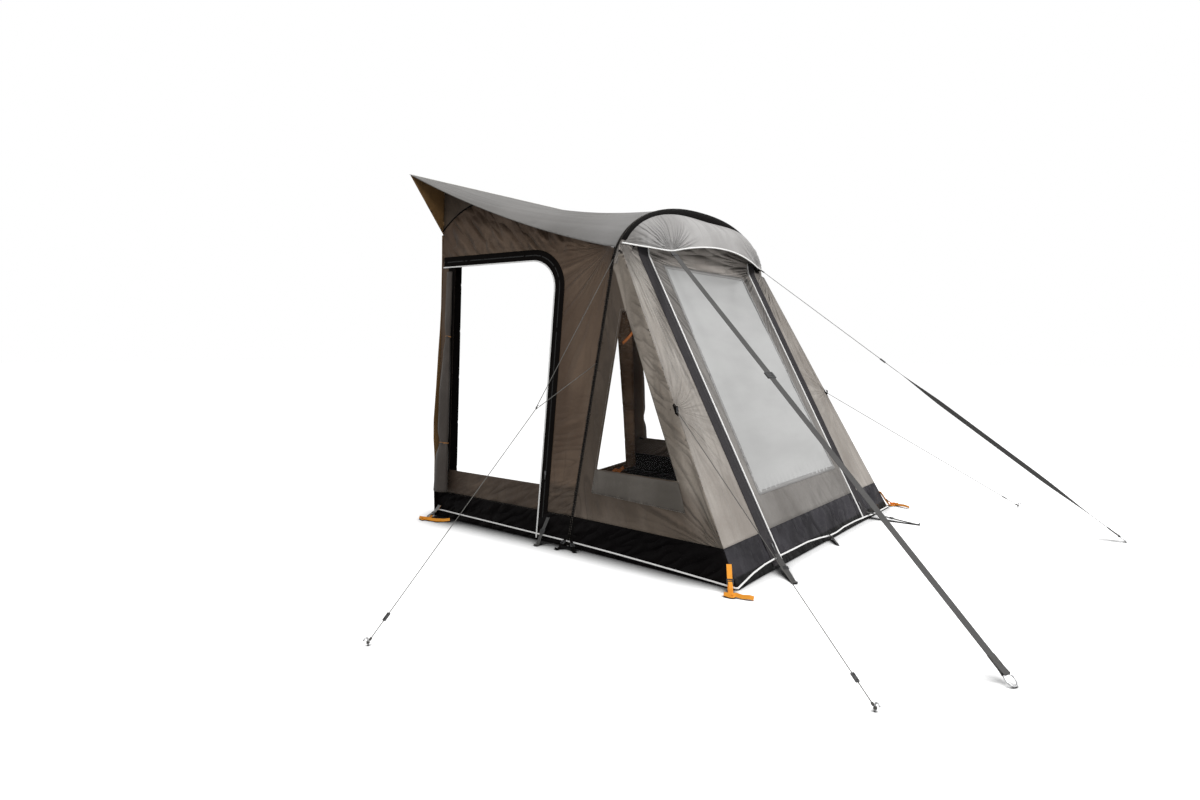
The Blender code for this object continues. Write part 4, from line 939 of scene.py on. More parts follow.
def side_guy(side, word):
    top = place(arch_out(SIDE_TOP), side * arch_half(SIDE_TOP), SIDE_TOP)
    tab = place(arch_out(SIDE_TAB), side * arch_half(SIDE_TAB), SIDE_TAB)
    ring = place(SIDE_RING[0], side * SIDE_RING[1], SIDE_RING[2])
    to_top, to_tab = (top - ring).normalized(), (tab - ring).normalized()
    middle, across = (to_top + to_tab).normalized(), (to_top - to_tab).normalized()
    half = to_top.angle(to_tab) / 2
    centre = ring + middle * GUY_BEND / math.sin(half)
    touch = across * GUY_BEND * math.cos(half), middle * GUY_BEND * math.sin(half)
    points = run(top, centre + touch[0] - touch[1], 12)
    limit = math.pi / 2 - half
    points += [centre + (across * math.sin(a) - middle * math.cos(a)) * GUY_BEND
               for a in np.linspace(limit, -limit, 8)[1:-1]]
    points += run(centre - touch[0] - touch[1], tab, 12)
    upper = line("side_upper_guy_piece_" + word, points)
    apex = centre - middle * GUY_BEND
    foot = place(SIDE_PEG[0], side * SIDE_PEG[1], 0)
    start = apex + (foot - apex).normalized() * (GUY_RADIUS + 2 * GAP)
    eye = frame_at(apex + middle * 0.0035, middle, across)
    eye_ring = tube("side_guy_ring_" + word, ring_points(eye, 0.0085, 28), 0.0021, STEEL, SHELL, 10,
                    closed=True)
    knot = turns("side_guy_knot_" + word, apex - middle * 0.002, (foot - apex).normalized(), 0.0038, 3.0,
                 0.0036)
    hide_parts("side_upper_guy_" + word)
    length_of(points)
    print("side_upper_guy", word, round(length_of(points), 3), "m")
    tie_down("side", word, "side_lower_guy", start, foot)
    for label, height in (("top", SIDE_TOP), ("tab", SIDE_TAB)):
        at = place(arch_out(height), side * (arch_half(height) + 0.004), height)
        away = Vector((side, 0, 0.15)).normalized()
        tag = [at + UP * 0.011, at + away * 0.005 + UP * 0.006, at + away * 0.008, at + away * 0.005
               - UP * 0.006, at - UP * 0.011]
        loop = ribbon("guy_tab_" + label + "_" + word, tag, [away] * 5, 0.01, 0.0015, SLEEVE)


for side, word in SIDES:
    side_guy(side, word)
    corner = place(front_out(CORNER_HEIGHT), side * corner_half(CORNER_HEIGHT), CORNER_HEIGHT)
    foot = place(CORNER_PEGS[side][1], CORNER_PEGS[side][0], 0)
    tie_down("corner", word, "corner_guy", corner + (foot - corner).normalized() * 0.003, foot)

# %% [markdown]
# ## The arch
#
# The beam is an inflated tube inside a black sleeve. Only the sleeve's crest stands out between the roof and
# the front, like a dark rim. A tube with many sides is swept along the arch's own line. A little uneven
# swelling and two rows of stitching tell the eye that it is cloth and not pipe.

# %% Beam sleeve, its seams and the beam
LEG_STEPS, CROWN_STEPS, SEAM_LEAN = 34, 90, 0.11


def arch_line(inset):
    """Points along the arch, from the left foot over the crown to the right foot, moved in by inset."""
    outer = [(-leg_half(SPRING_HEIGHT * i / LEG_STEPS), SPRING_HEIGHT * i / LEG_STEPS)
             for i in range(LEG_STEPS)]
    for i in range(CROWN_STEPS + 1):
        angle = math.pi * (1 - i / CROWN_STEPS)
        outer.append((SPRING_HALF * math.copysign(abs(math.cos(angle)) ** (2 / ARCH_POWER), math.cos(angle)),
                      SPRING_HEIGHT + (CROWN_HEIGHT - SPRING_HEIGHT)
                      * abs(math.sin(angle)) ** (2 / ARCH_POWER)))
    outer += [(-x, z) for x, z in reversed(outer[:LEG_STEPS])]
    made = []
    for i, (x, z) in enumerate(outer):
        (ax, az), (bx, bz) = outer[max(i - 1, 0)], outer[min(i + 1, len(outer) - 1)]
        far = math.hypot(bx - ax, bz - az)
        made.append(place(arch_out(z), x + (bz - az) / far * inset, max(z - (bx - ax) / far * inset, 0)))
    return made


def build_arch():
    spine = arch_line(ARCH_INSET)
    radii = [SLEEVE_RADIUS * (1 + 0.006 * noise.noise(p * 7)) for p in spine]
    sleeve = tube("beam_sleeve_piece", spine, radii, SLEEVE, SHELL, 36)
    for vert in sleeve.data.vertices:
        vert.co.z = max(vert.co.z, 0.0)
    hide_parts("beam_sleeve")
    rows = []
    for lean in (-SEAM_LEAN, SEAM_LEAN):
        crest = arch_line(ARCH_INSET - SLEEVE_RADIUS * math.cos(lean) - 0.0008)
        rows.append([p + Vector((0, SLEEVE_RADIUS * math.sin(lean), 0)) for p in crest])
    stitches("beam_sleeve_stitches", rows, THREAD, 0.006, 0.009, 0.0008)
    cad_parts["air_beam"].data.materials.clear()
    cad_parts["air_beam"].data.materials.append(BEAM_SKIN)
    print("sleeve rings", len(spine))


build_arch()

# %% [markdown]
# ## The side walls
#
# Each side has two panels: a rear one with the doorway and a front one with a triangular window. They share
# the arch's plane, where both tuck under the sleeve. The rear panel's head ends in a curved seam, with a
# paler lining above it up to the roof. Creases run from the rail's corner down towards the doorway, where the
# cloth is pulled.

# %% Wall patterns
DOOR_REAR, DOOR_FRONT, DOOR_SILL, DOOR_HEAD, DOOR_CORNER, DOOR_ZIP = 0.13, 1.035, 0.36, 1.85, 0.2, 0.075
TRI = [(1.489, 0.51), (2.09, 0.51), (1.605, 1.49), (1.575, 1.49)]
SLEEVE_TUCK = 0.011
FRONT_SIDE_HEAD = 1.853


def roof_height(x, out):
    """How high the roof is over a point, found by walking its two shares until they agree."""
    b = out / ARCH_CROWN_OUT
    spread = 0.0
    for _ in range(8):
        spread = max(-1.0, min(1.0, x / mix(RAIL_HALF, ROOF_ARCH_HALF, b)))
        b = min(out / arch_out(arch_height(ROOF_ARCH_HALF * spread)), 1.0)
    a = (math.asin(spread * math.sin(ROOF_SWEEP)) / ROOF_SWEEP + 1) / 2
    return roof_point(a, b).z


def wall_head(out):
    z = 2.2
    for _ in range(12):
        z = roof_height(side_half(out, z), out) - 0.003
    return z


def head_seam(out):
    """The curved seam that closes the wall's cloth below the roof."""
    rise = 1 - max(0.0, 1 - out / 0.42) ** 2.2
    return min(mix(2.12, 2.305, rise), wall_head(out))


def corner_arc(grow, steps=14):
    return [(DOOR_FRONT - DOOR_CORNER + (DOOR_CORNER + grow) * math.cos(math.pi / 2 * i / steps),
             DOOR_HEAD - DOOR_CORNER + (DOOR_CORNER + grow) * math.sin(math.pi / 2 * i / steps))
            for i in range(steps + 1)]


def door_edge(grow, foot=0.012, steps=30):
    """The doorway's head, corner and front edge, moved outwards by grow."""
    post = [(DOOR_FRONT + grow, z) for z in np.linspace(1.6, foot, steps)]
    return [(0.022, DOOR_HEAD + grow)] + corner_arc(grow)[::-1] + post


def door_distance(out, z):
    """How far a point of the wall is from the doorway, whose zip band lies flat on the cloth."""
    turn_out, turn_z = DOOR_FRONT - DOOR_CORNER, DOOR_HEAD - DOOR_CORNER
    if out > turn_out and z > turn_z:
        return math.hypot(out - turn_out, z - turn_z) - DOOR_CORNER
    return max(out - DOOR_FRONT, z - DOOR_HEAD)


def clear_of_sleeve(way, reach=SLEEVE_RADIUS + 0.0012, tip=0.19, begin=0.0):
    """Cloth near the arch lies over the sleeve, and a narrow black line of the sleeve is left bare.

    way is 1 in front of the arch and -1 behind it. begin is the half width from which this holds.
    """
    spine = np.array(arch_line(ARCH_INSET))
    runs = spine[1:] - spine[:-1]
    squares = (runs ** 2).sum(1)

    def settle(point):
        share = np.clip(((np.array(point) - spine[:-1]) * runs).sum(1) / squares, 0, 1)
        near = spine[:-1] + share[:, None] * runs
        nearest = Vector(near[((near - np.array(point)) ** 2).sum(1).argmin()])
        rel = point - nearest
        if rel.length >= reach or abs(point.x) < begin:
            return point
        rel.y -= way * max(0.0, tip * rel.length + way * rel.y)
        return point.lerp(nearest + rel.normalized() * reach, smooth((abs(point.x) - begin) / 0.16) if begin
                          else 1.0)
    return settle


def wall_crease(seed):
    def crease(out, z):
        head = smooth((z - 1.8) / 0.2)
        foot = smooth((0.75 - z) / 0.4)
        high = ripples(out, z, math.radians(-58), 0.045, 0.4, 0.013, seed) * head * smooth((1.4 - out) / 0.5)
        low = ripples(out, z, math.radians(14), 0.05, 0.4, 0.0095, seed + 2) * foot
        body = ripples(out, z, math.radians(66), 0.09, 0.9, 0.006, seed + 5)
        made = high + low + body + pulls(out, z, (1.44, 1.86), 18, 0.34, 0.008, seed + 7)
        return made * (1.0 if z < DOOR_SILL and out < DOOR_FRONT - 0.03 else
                       smooth((door_distance(out, z) - DOOR_ZIP - 0.004) / 0.05))
    return crease


def build_wall(side, word):
    where = side_point(side)
    outwards = Vector((side, 0, 0))
    front_edge = [(arch_out(z) - SLEEVE_TUCK, z) for z in np.linspace(SKIRT_HEIGHT, 1.892, 24)]
    outs = np.linspace(1.462, 0.0, 30)
    hole = [(DOOR_REAR, DOOR_SILL), (DOOR_FRONT, DOOR_SILL), *corner_arc(0), (DOOR_REAR, DOOR_HEAD)]
    outline = [(0.0, SKIRT_HEIGHT), *front_edge, *[(out, head_seam(out)) for out in outs]]
    wall = sheet("rear_side_panel_piece_" + word, outline, where, WALL, [hole], wall_crease(1.0 + side),
                 outwards, 0.018, hold=0.045, settle=clear_of_sleeve(-1))
    upper = [out for out in outs if head_seam(out) < wall_head(out) - 0.004]
    lining_edge = [(out, head_seam(out)) for out in reversed(upper)]
    lining_edge += [(out, wall_head(out)) for out in upper]
    fold = lambda out, z: ripples(out, z, math.radians(-50), 0.05, 0.3, 0.006, 8.0)
    lining = sheet("wall_head_lining_" + word, lining_edge, where, LINING, (), fold, outwards, 0.02,
                   sink=0.006)
    cut_from_pattern(lining, "rear_side_panel_piece_" + word)
    seam = [where(out, head_seam(out) - 0.003) + outwards * 0.001 for out in upper]
    # Painted shade: a black tube along the head seam stands in for the seam's shadow.
    tube("wall_head_shade_line_" + word, seam, 0.0048, SLEEVE, SHELL, 8)
    edge = [(0.066, DOOR_SILL - 0.02), (DOOR_REAR + 0.001, DOOR_SILL - 0.02), (DOOR_REAR + 0.001, DOOR_HEAD),
            (0.066, DOOR_HEAD)]
    tape = sheet("door_rear_tape_" + word, edge, where, DOOR_TAPE, (), None, outwards, 0.03, sink=-0.002)
    cut_from_pattern(tape, "rear_side_panel_piece_" + word)
    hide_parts("rear_side_panel_" + word)
    rows = [[where(out, head_seam(out) - 0.006) + outwards * 0.0006 for out in upper]]
    stitches("wall_head_stitches_" + word, rows, PALE_THREAD)

    def side_crease(out, z):
        low = ripples(out, z, math.radians(112), 0.05, 0.45, 0.012, 3.0 + side) * smooth((0.75 - z) / 0.35)
        fan = pulls(out, z, (front_out(0.2), 0.16), 24, 0.5, 0.011, 4.0)
        strip = ripples(out, z, math.radians(108), 0.035, 0.5, 0.008, 6.0) * smooth((z - 0.4) / 0.3)
        cover = smooth((z - 0.3) / 0.03) * smooth((0.55 - z) / 0.03) * smooth((2.24 - out) / 0.05)
        return (low + fan + strip) * (1 - cover)

    back = [(arch_out(z) + SLEEVE_TUCK, z) for z in np.linspace(FRONT_SIDE_HEAD, SKIRT_HEIGHT, 20)]
    fore = [(front_out(z), z) for z in np.linspace(SKIRT_HEIGHT, FRONT_SIDE_HEAD, 20)]
    fore = [(max(out, arch_out(z) + SLEEVE_TUCK + 0.001), z) for out, z in fore]
    front = sheet("front_side_panel_piece_" + word, fore + back, where, FRONT_SIDE, [TRI], side_crease,
                  outwards, 0.016, hold=0.03, settle=clear_of_sleeve(1))
    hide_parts("front_side_panel_" + word)
    inner = [(TRI[0][0] - 0.006, TRI[0][1] - 0.006), (TRI[1][0] + 0.008, TRI[1][1] - 0.006),
             (TRI[2][0] + 0.006, TRI[2][1] + 0.006), (TRI[3][0] - 0.006, TRI[3][1] + 0.006)]
    pane = sheet("side_window_piece_" + word, inner, where, CLEAR_FILM, (),
                 lambda u, v: ripples(u, v, 1.2, .2, .5, .003, 2), outwards, 0.03, FILM_THICK, sink=0.0018)
    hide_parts("side_window_" + word)
    cut_from_pattern(pane, "front_side_panel_piece_" + word)
    print("walls", word, len(wall.data.vertices), len(front.data.vertices))


LINING = cloth("lining_cloth", (0.07, 0.052, 0.038), (0.11, 0.086, 0.066))


def sunlit(made):
    """Painted light: ahead of a line from the arch's head past the window, the cloth gets paler colours."""
    y, z = (made.node("ShaderNodeSeparateXYZ", None, {0: made.place}, output=axis) for axis in ("Y", "Z"))
    ahead_of = CARAVAN_Y - 1.59 - y - (1.5 - z) * 0.44
    fade = 0.012 + 0.42 * made.step(0.62 - z, 0.0, 0.35)
    return ahead_of, 0.0, fade, ((0.165, 0.141, 0.115), (0.33, 0.29, 0.248))


def low_painted_light(made):
    """Painted light: paler towards the foot and the front."""
    reach = (0.37 - made.axis("Z")) * 4 + (CARAVAN_Y - made.axis("Y") - 1.62) * 0.8
    return reach, 0.0, 0.9, ((0.098, 0.076, 0.058), (0.166, 0.134, 0.108))


FRONT_SIDE_LAYERS = ((lambda made: made.folds((0.3, 0.07, 0.26), (-1.0, 0, 0),
                                              in_front(made, 1.62, 0.1) * above(made, 0.5, 0.1)), 0.05),
                     (lambda made: made.fan((-1.25, CARAVAN_Y - 2.44, 0.16), "Y", 7.0, 1.1, -1.0), 0.07))
FRONT_SIDE = cloth("front_side_cloth", (0.052, 0.038, 0.027), (0.086, 0.066, 0.051), fold=(0.16, 0.12, 0.6),
                   lean=-0.3, crumple=0.01, patches=(low_painted_light, sunlit), layers=FRONT_SIDE_LAYERS, line=0.35)
for side, word in SIDES:
    build_wall(side, word)

# %% [markdown]
# ## The roof, its bead and the gussets
#
# The roof is one sheet from the caravan's rail to the arch. It spreads towards the rail into two sharp wings,
# dips between its ends and carries a few shallow gathers. A round bead sewn along its rear edge slides into
# the caravan's rail. A small gusset closes each wing; its warm brown is painted light, standing in for
# daylight shining through it.

# %% Roof, bead and gussets
ROOF_WIDE, ROOF_DEEP, ROOF_TUCK = 2.6, 1.5, 1.496
GUSSET_FOOT, GUSSET_HALF = 2.085, 1.447


def build_roof():
    def where(u, v):
        return roof_point(u / ROOF_WIDE, v / ROOF_DEEP)

    def crease(u, v):
        return (ripples(u, v, math.radians(80), 0.13, 0.9, 0.0035, 11.0)
                + pulls(u, v, (0.0, 0.0), 26, 0.3, 0.0035, 12.0)
                + pulls(u, v, (ROOF_WIDE, 0.0), 26, 0.3, 0.0035, 13.0))

    outline = [(0, 0), (ROOF_WIDE, 0), (ROOF_WIDE, ROOF_TUCK), (0, ROOF_TUCK)]
    roof = sheet("roof_panel_piece", outline, where, ROOF, (), crease, UP, 0.024)
    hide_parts("roof_panel")
    bead_at = place(-0.0063, 0, RAIL_HEIGHT - CLOTH / 2)
    half = RAIL_HALF - 0.02
    bead = tube("rail_bead_piece", [bead_at + Vector((x, 0, 0)) for x in np.linspace(-half, half, 60)], 0.006,
                BEAD_TAPE, SHELL, 16)
    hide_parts("rail_bead")
    for side, word in SIDES:
        edge = [roof_point(0.5 + side * 0.5, b) - Vector((side * 0.004, 0, -0.0004))
                for b in np.linspace(0.02, 0.97, 40)]
        hem = tube("roof_edge_binding_" + word, edge, 0.0032, ROOF, SHELL, 8)
        root = rear_half(GUSSET_FOOT) - 0.009
        head = RAIL_HEIGHT - 0.0025
        outline = [(side * GUSSET_HALF, head - 0.001), (side * root, GUSSET_FOOT),
                   (side * (rear_half(head) - 0.009), head)]
        fold = lambda u, v: ripples(u, v, 1.1, 0.06, 0.3, 0.004, 3)
        gusset = sheet("wing_gusset_piece_" + word, outline if side < 0 else outline[::-1],
                       lambda x, z: place(0.002, x, z), PAINTED_BACKLIGHT_CLOTH, (), fold, FORWARD, 0.018, hold=0.04)
        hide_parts("wing_gusset_" + word)
        cut_from_pattern(gusset, "roof_panel_piece")
    rows = [[roof_point(a, b) + UP * 0.0008 for a in np.linspace(0.01, 0.99, 90)] for b in (0.012, 0.02)]
    stitches("roof_rail_stitches", rows, PALE_THREAD)
    print("roof", len(roof.data.vertices), "points")


build_roof()

# %% [markdown]
# ## The front
#
# The front slopes forward to the ground. Its centre panel holds the big window and zips out along both sides.
# Outside the zips, a corner panel runs round to the side wall. The window film is welded in with a narrow
# border, and it puckers along its lower edge, where the weld has shrunk it.

# %% Front panel, corner panels and window
CENTRE_HALF, WINDOW_FOOT, WINDOW_HEAD, WINDOW_FOOT_HALF, WINDOW_HEAD_HALF = 0.735, 0.38, 1.815, 0.614, 0.552
WINDOW = [(-WINDOW_FOOT_HALF, WINDOW_FOOT), (WINDOW_FOOT_HALF, WINDOW_FOOT),
          (WINDOW_HEAD_HALF, WINDOW_HEAD), (-WINDOW_HEAD_HALF, WINDOW_HEAD)]
OUTWARDS = Vector((0, -1, 0.4)).normalized()
HEAD_HALF, CORNER_HEAD = 0.93, 1.86
SEAM_GAP, WINDOW_LAP, WELD_WIDTH = 0.0002, 0.006, 0.016
WRAP_FOOT, WRAP_HEAD, WRAP_PROUD = 1.78, 1.925, 0.0026


def front_head(x):
    """The top edge of the front's cloth: under the arch's crest, then down to the corner."""
    if abs(x) < HEAD_HALF:
        return arch_height(x) - 0.012
    return mix(arch_height(HEAD_HALF) - 0.012, CORNER_HEAD, (abs(x) - HEAD_HALF) / 0.048)


def window_line(lap):
    """The window's outline, grown by `lap` on every side."""
    return [(x + math.copysign(1, x) * lap, z + (-lap if z == WINDOW_FOOT else lap)) for x, z in WINDOW]


def window_crease(x, z):
    uneven = noise.noise(Vector((x * 9, 0, 1)))
    pucker = 0.0035 * math.exp(-(z - WINDOW_FOOT) / 0.03) * math.sin(x * 95 + 3 * uneven)
    sag = ripples(x, z, math.radians(4), 0.22, 1.2, 0.003, 21.0)
    sag += ripples(x, z, math.radians(70), 0.3, 0.9, 0.002, 5.0)
    return pucker + sag


def build_front():
    half = CENTRE_HALF - SEAM_GAP
    heads = [(x, front_head(x)) for x in np.linspace(half, -half, 24)]
    outline = [(-half, SKIRT_HEIGHT), (half, SKIRT_HEIGHT), *heads]

    def crease(x, z):
        low = ripples(x, z, math.radians(12), 0.06, 0.5, 0.0045, 22.0) * smooth((0.38 - z) / 0.1)
        return low + ripples(x, z, math.radians(85), 0.035, 0.5, 0.0025, 23.0)

    panel = sheet("front_panel_piece", outline, front_point, FRONT, [WINDOW], crease, OUTWARDS, 0.026,
                  hold=0.04)
    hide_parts("front_panel")
    grown, rim = window_line(WINDOW_LAP), window_line(-WELD_WIDTH)
    pane = sheet("front_window_piece", grown, front_point, WINDOW_FILM, (), window_crease, OUTWARDS, 0.016,
                 FILM_THICK, hold=0.012, sink=0.0022)
    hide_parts("front_window")
    weld = sheet("front_window_weld", grown, front_point, BORDER_FILM, [rim], None, OUTWARDS, 0.02,
                 FILM_THICK, sink=-FILM_THICK)
    for side, word in SIDES:
        inner = CENTRE_HALF + SEAM_GAP
        outline = [(side * inner, SKIRT_HEIGHT)]
        outline += [(side * corner_half(z), z) for z in np.linspace(SKIRT_HEIGHT, CORNER_HEAD, 24)]
        outline += [(side * x, front_head(x)) for x in np.linspace(HEAD_HALF, inner, 6)]

        def streaks(x, z, side=side):
            u = (abs(x) - CENTRE_HALF) / max(corner_half(z) - CENTRE_HALF, 0.05)
            fan = noise.noise(Vector((u * 3.8 - z * 0.5, z * 0.55, 30.0 + side)))
            fine = noise.noise(Vector((u * 9.0 + z * 0.8, z * 0.9, 40.0 + side)))
            pull = pulls(abs(x), z, (corner_half(0.91), 0.91), 9, 0.2, 0.005, 31.0)
            rise = 0.026 * abs(fan) + 0.014 * abs(fine) + pull - 0.008
            return rise * smooth((abs(x) - CENTRE_HALF - 0.055) / 0.07)

        corner = sheet("corner_panel_piece_" + word, outline if side > 0 else outline[::-1], front_point,
                       FRONT, (), streaks, OUTWARDS, 0.015, hold=0.035, settle=clear_of_sleeve(1, begin=0.84))
        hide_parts("corner_panel_" + word)
    print("window", len(pane.data.vertices), "points")


def build_shoulder(side, word):
    """Where the corner and side panels meet the arch, their cloth wraps over the front of the sleeve."""
    near = [(i, p) for i, p in enumerate(arch_line(ARCH_INSET)) if p.x * side > 0]
    spine = [(i, p) for i, p in near if WRAP_FOOT < p.z < WRAP_HEAD]
    crest = arch_line(ARCH_INSET - SLEEVE_RADIUS - WRAP_PROUD)
    angles = np.linspace(0.22, 1.95, 16)
    points = [p + (crest[i] - p) * math.cos(a) + FORWARD * (SLEEVE_RADIUS + WRAP_PROUD) * math.sin(a)
              for i, p in spine for a in angles]
    wrap = thicken(mesh_piece("shoulder_wrap_" + word, points, grid(len(spine), len(angles)), FRONT), 0.0014)
    length = (spine[-1][1] - spine[0][1]).length


build_front()
for side, word in SIDES:
    build_shoulder(side, word)

# %% [markdown]
# ## The visor
#
# A hood stands out over the front window. Its lip is bound with white piping and drawn into two points by the
# storm straps, so creases run from each point up to the arch. The lip rises between the points in a shallow
# bow.

# %% Visor with its piping
VISOR_MIDDLE_RISE, VISOR_MIDDLE_REACH, VISOR_ROOT_HALF = 0.075, 0.04, 0.925
VISOR_END_HALF, VISOR_END_OUT, VISOR_END_HEIGHT = 0.968, 1.522, 1.924
VISOR_BULGE, VISOR_SWEEP = 0.022, math.pi / 2.4


def visor_lip(spread):
    share = VISOR_POINT[1] / VISOR_END_HALF
    size, x = abs(spread), VISOR_END_HALF * spread
    if size <= share:
        rise = 1 - (size / share) ** 2
        return place(VISOR_POINT[0] + VISOR_MIDDLE_REACH * rise, x, VISOR_POINT[2] + VISOR_MIDDLE_RISE * rise)
    part = (size - share) / (1 - share)
    return place(mix(VISOR_POINT[0], VISOR_END_OUT, part), x, mix(VISOR_POINT[2], VISOR_END_HEIGHT, part))


def visor_root():
    """The seam across the sleeve: to its front at the crown and nearer to its crest at the sides."""
    made = []
    for spine, crest in zip(arch_line(ARCH_INSET), arch_line(ARCH_INSET - SLEEVE_RADIUS)):
        if spine.z > 1.8:
            turn = math.radians(mix(106, 42, smooth(abs(crest.x) / 0.93)))
            made.append(spine + (crest - spine) * math.cos(turn) + Vector((0, -SLEEVE_RADIUS - 0.003, 0))
                        * math.sin(turn))
    return np.array(sorted(tuple(p) for p in made))


VISOR_ROOT = visor_root()


def visor_point(a, b):
    spread = 2 * a - 1
    x = VISOR_ROOT_HALF * math.sin(spread * VISOR_SWEEP) / math.sin(VISOR_SWEEP)
    root = Vector((x, *(np.interp(x, VISOR_ROOT[:, 0], VISOR_ROOT[:, i]) for i in (1, 2))))
    point = root.lerp(visor_lip(spread), b)
    bulge = VISOR_BULGE * math.sin(math.pi * b) * (1 - spread ** 4)
    return point + Vector((0, -bulge, bulge))


def build_visor():
    wide, deep = 1.88, 0.4
    tips = [(0.5 + side * 0.5 * VISOR_POINT[1] / VISOR_END_HALF) * wide for side in (-1, 1)]

    def crease(u, v):
        fan = sum(pulls(u, v, (tip, deep), 20, 0.24, 0.01, 50.0 + tip) for tip in tips)
        ends = sum(pulls(u, v, (end, deep), 18, 0.3, 0.0085, 60.0 + end) for end in (0.0, wide))
        return fan + ends + ripples(u, v, math.radians(95), 0.2, 0.6, 0.003, 61.0)

    def where(u, v):
        return visor_point(min(max(u / wide, 0), 1), min(max(v / deep, 0), 1))

    outline = [(0, 0), (wide, 0), (wide, deep), (0, deep)]
    visor = sheet("visor_piece", outline, where, VISOR, (), crease,
                  Vector((0, -0.5, 1)), 0.018, hold=0.03,
                  settle=clear_of_sleeve(1, SLEEVE_RADIUS + 0.0045, 0.55))
    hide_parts("visor")
    lip = [visor_lip(s) for s in np.linspace(-1, 1, 121)]
    piping = tube("visor_piping", [p + Vector((0, -0.001, -0.001)) for p in lip], 0.005, PIPING, SHELL, 10)
    rows = [[visor_point(a, 0.955) + Vector((0, -0.001, 0.001)) for a in np.linspace(0.01, 0.99, 90)]]
    stitches("visor_stitches", rows, PALE_THREAD)
    print("visor", len(visor.data.vertices), "points")


build_visor()

# %% [markdown]
# ## Mud skirts and hem
#
# A band of shiny black coated cloth runs round the foot and lies loose, so it buckles between the pegs. White
# piping marks its hem. The hem rides up a few centimetres between pegs and is pulled down to the ground at
# each corner.

# %% Skirts and hem piping
HEM_PROUD, FLAP_WIDTH = 0.0062, 0.23


def skirt_crease(seed):
    def crease(u, z):
        buckles = ripples(u, z, math.radians(52), 0.07, 0.3, 0.011, seed)
        return (buckles + ripples(u, z, math.radians(-20), 0.05, 0.25, 0.006,
                                  seed + 1)) * smooth((z - 0.058) / 0.05)
    return crease


HEM_PLACES = (-1.25, -1.05, -0.9, -0.7, -0.5, -0.3, -0.13, 0.05, 0.16, 0.3, 0.52, 0.77, 0.9, 1.03, 1.25)
HEM_HEIGHTS = (0.0075, 0.035, 0.046, 0.05, 0.048, 0.047, 0.036, 0.02, 0.018, 0.026, 0.025, 0.017, 0.01, 0.008,
               0.0075)


def hem_height(out, x):
    """The piping's height: up between the pegs, down at the corners."""
    if x is None:
        beyond = max(out - 1.33, 0.0) / 1.19
        return mix(0.052, 0.034, out / 1.33) if out < 1.33 else mix(0.034, 0.0075, beyond ** 1.6)
    return float(np.interp(x, HEM_PLACES, HEM_HEIGHTS))


def build_skirts():
    for side, word in SIDES:
        outline = [(0, 0), (arch_out(0) - SLEEVE_TUCK, 0), (arch_out(0.19) - SLEEVE_TUCK, SKIRT_HEIGHT),
                   (0, SKIRT_HEIGHT)]
        rear = sheet("rear_mud_skirt_piece_" + word, outline, side_point(side), SKIRT, (),
                     skirt_crease(70 + side), Vector((side, 0, 0)), 0.02, hold=0.03)
        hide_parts("rear_mud_skirt_" + word)
        fore = [(arch_out(z) + SLEEVE_TUCK, z) for z in (SKIRT_HEIGHT, 0)]
        outline = [(front_out(z), z) for z in (0, SKIRT_HEIGHT)] + fore
        flank = sheet("front_mud_skirt_side_" + word, outline, side_point(side), SKIRT, (),
                      skirt_crease(74 + side), Vector((side, 0, 0)), 0.02, hold=0.03)
        cut_from_pattern(flank, "front_side_panel_piece_" + word)
        hem = [side_point(side)(out, hem_height(out, None)) + Vector((side * HEM_PROUD, 0, 0))
               for out in np.linspace(0.012, front_out(0.0075) - 0.002, 90)]
        hem += [front_point(side * x, hem_height(0, side * x)) + Vector((0, -HEM_PROUD, 0))
                for x in np.linspace(1.25, 0.0, 50)]
        tube("hem_piping_" + word, hem, 0.0052, PIPING, SHELL, 8)
        band = [side_point(side)(out, SKIRT_HEIGHT - 0.006) + Vector((side * 0.0008, 0, 0))
                for out in np.linspace(.01, 1.3, 40)]
        stitches("skirt_seam_" + word, [band], THREAD)
    outline = [(-corner_half(0), 0), (corner_half(0), 0), (corner_half(SKIRT_HEIGHT), SKIRT_HEIGHT),
               (-corner_half(SKIRT_HEIGHT), SKIRT_HEIGHT)]
    front = sheet("front_mud_skirt_piece", outline, front_point, SKIRT_FRONT, (), skirt_crease(78), OUTWARDS,
                  0.02, hold=0.03)
    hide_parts("front_mud_skirt")
    print("skirts done")


def flap_lift(v):
    """A flap's height over the ground: it leaves the wall's foot in a soft curve."""
    return 0.004 + 0.016 * (1 - v / FLAP_WIDTH) ** 2


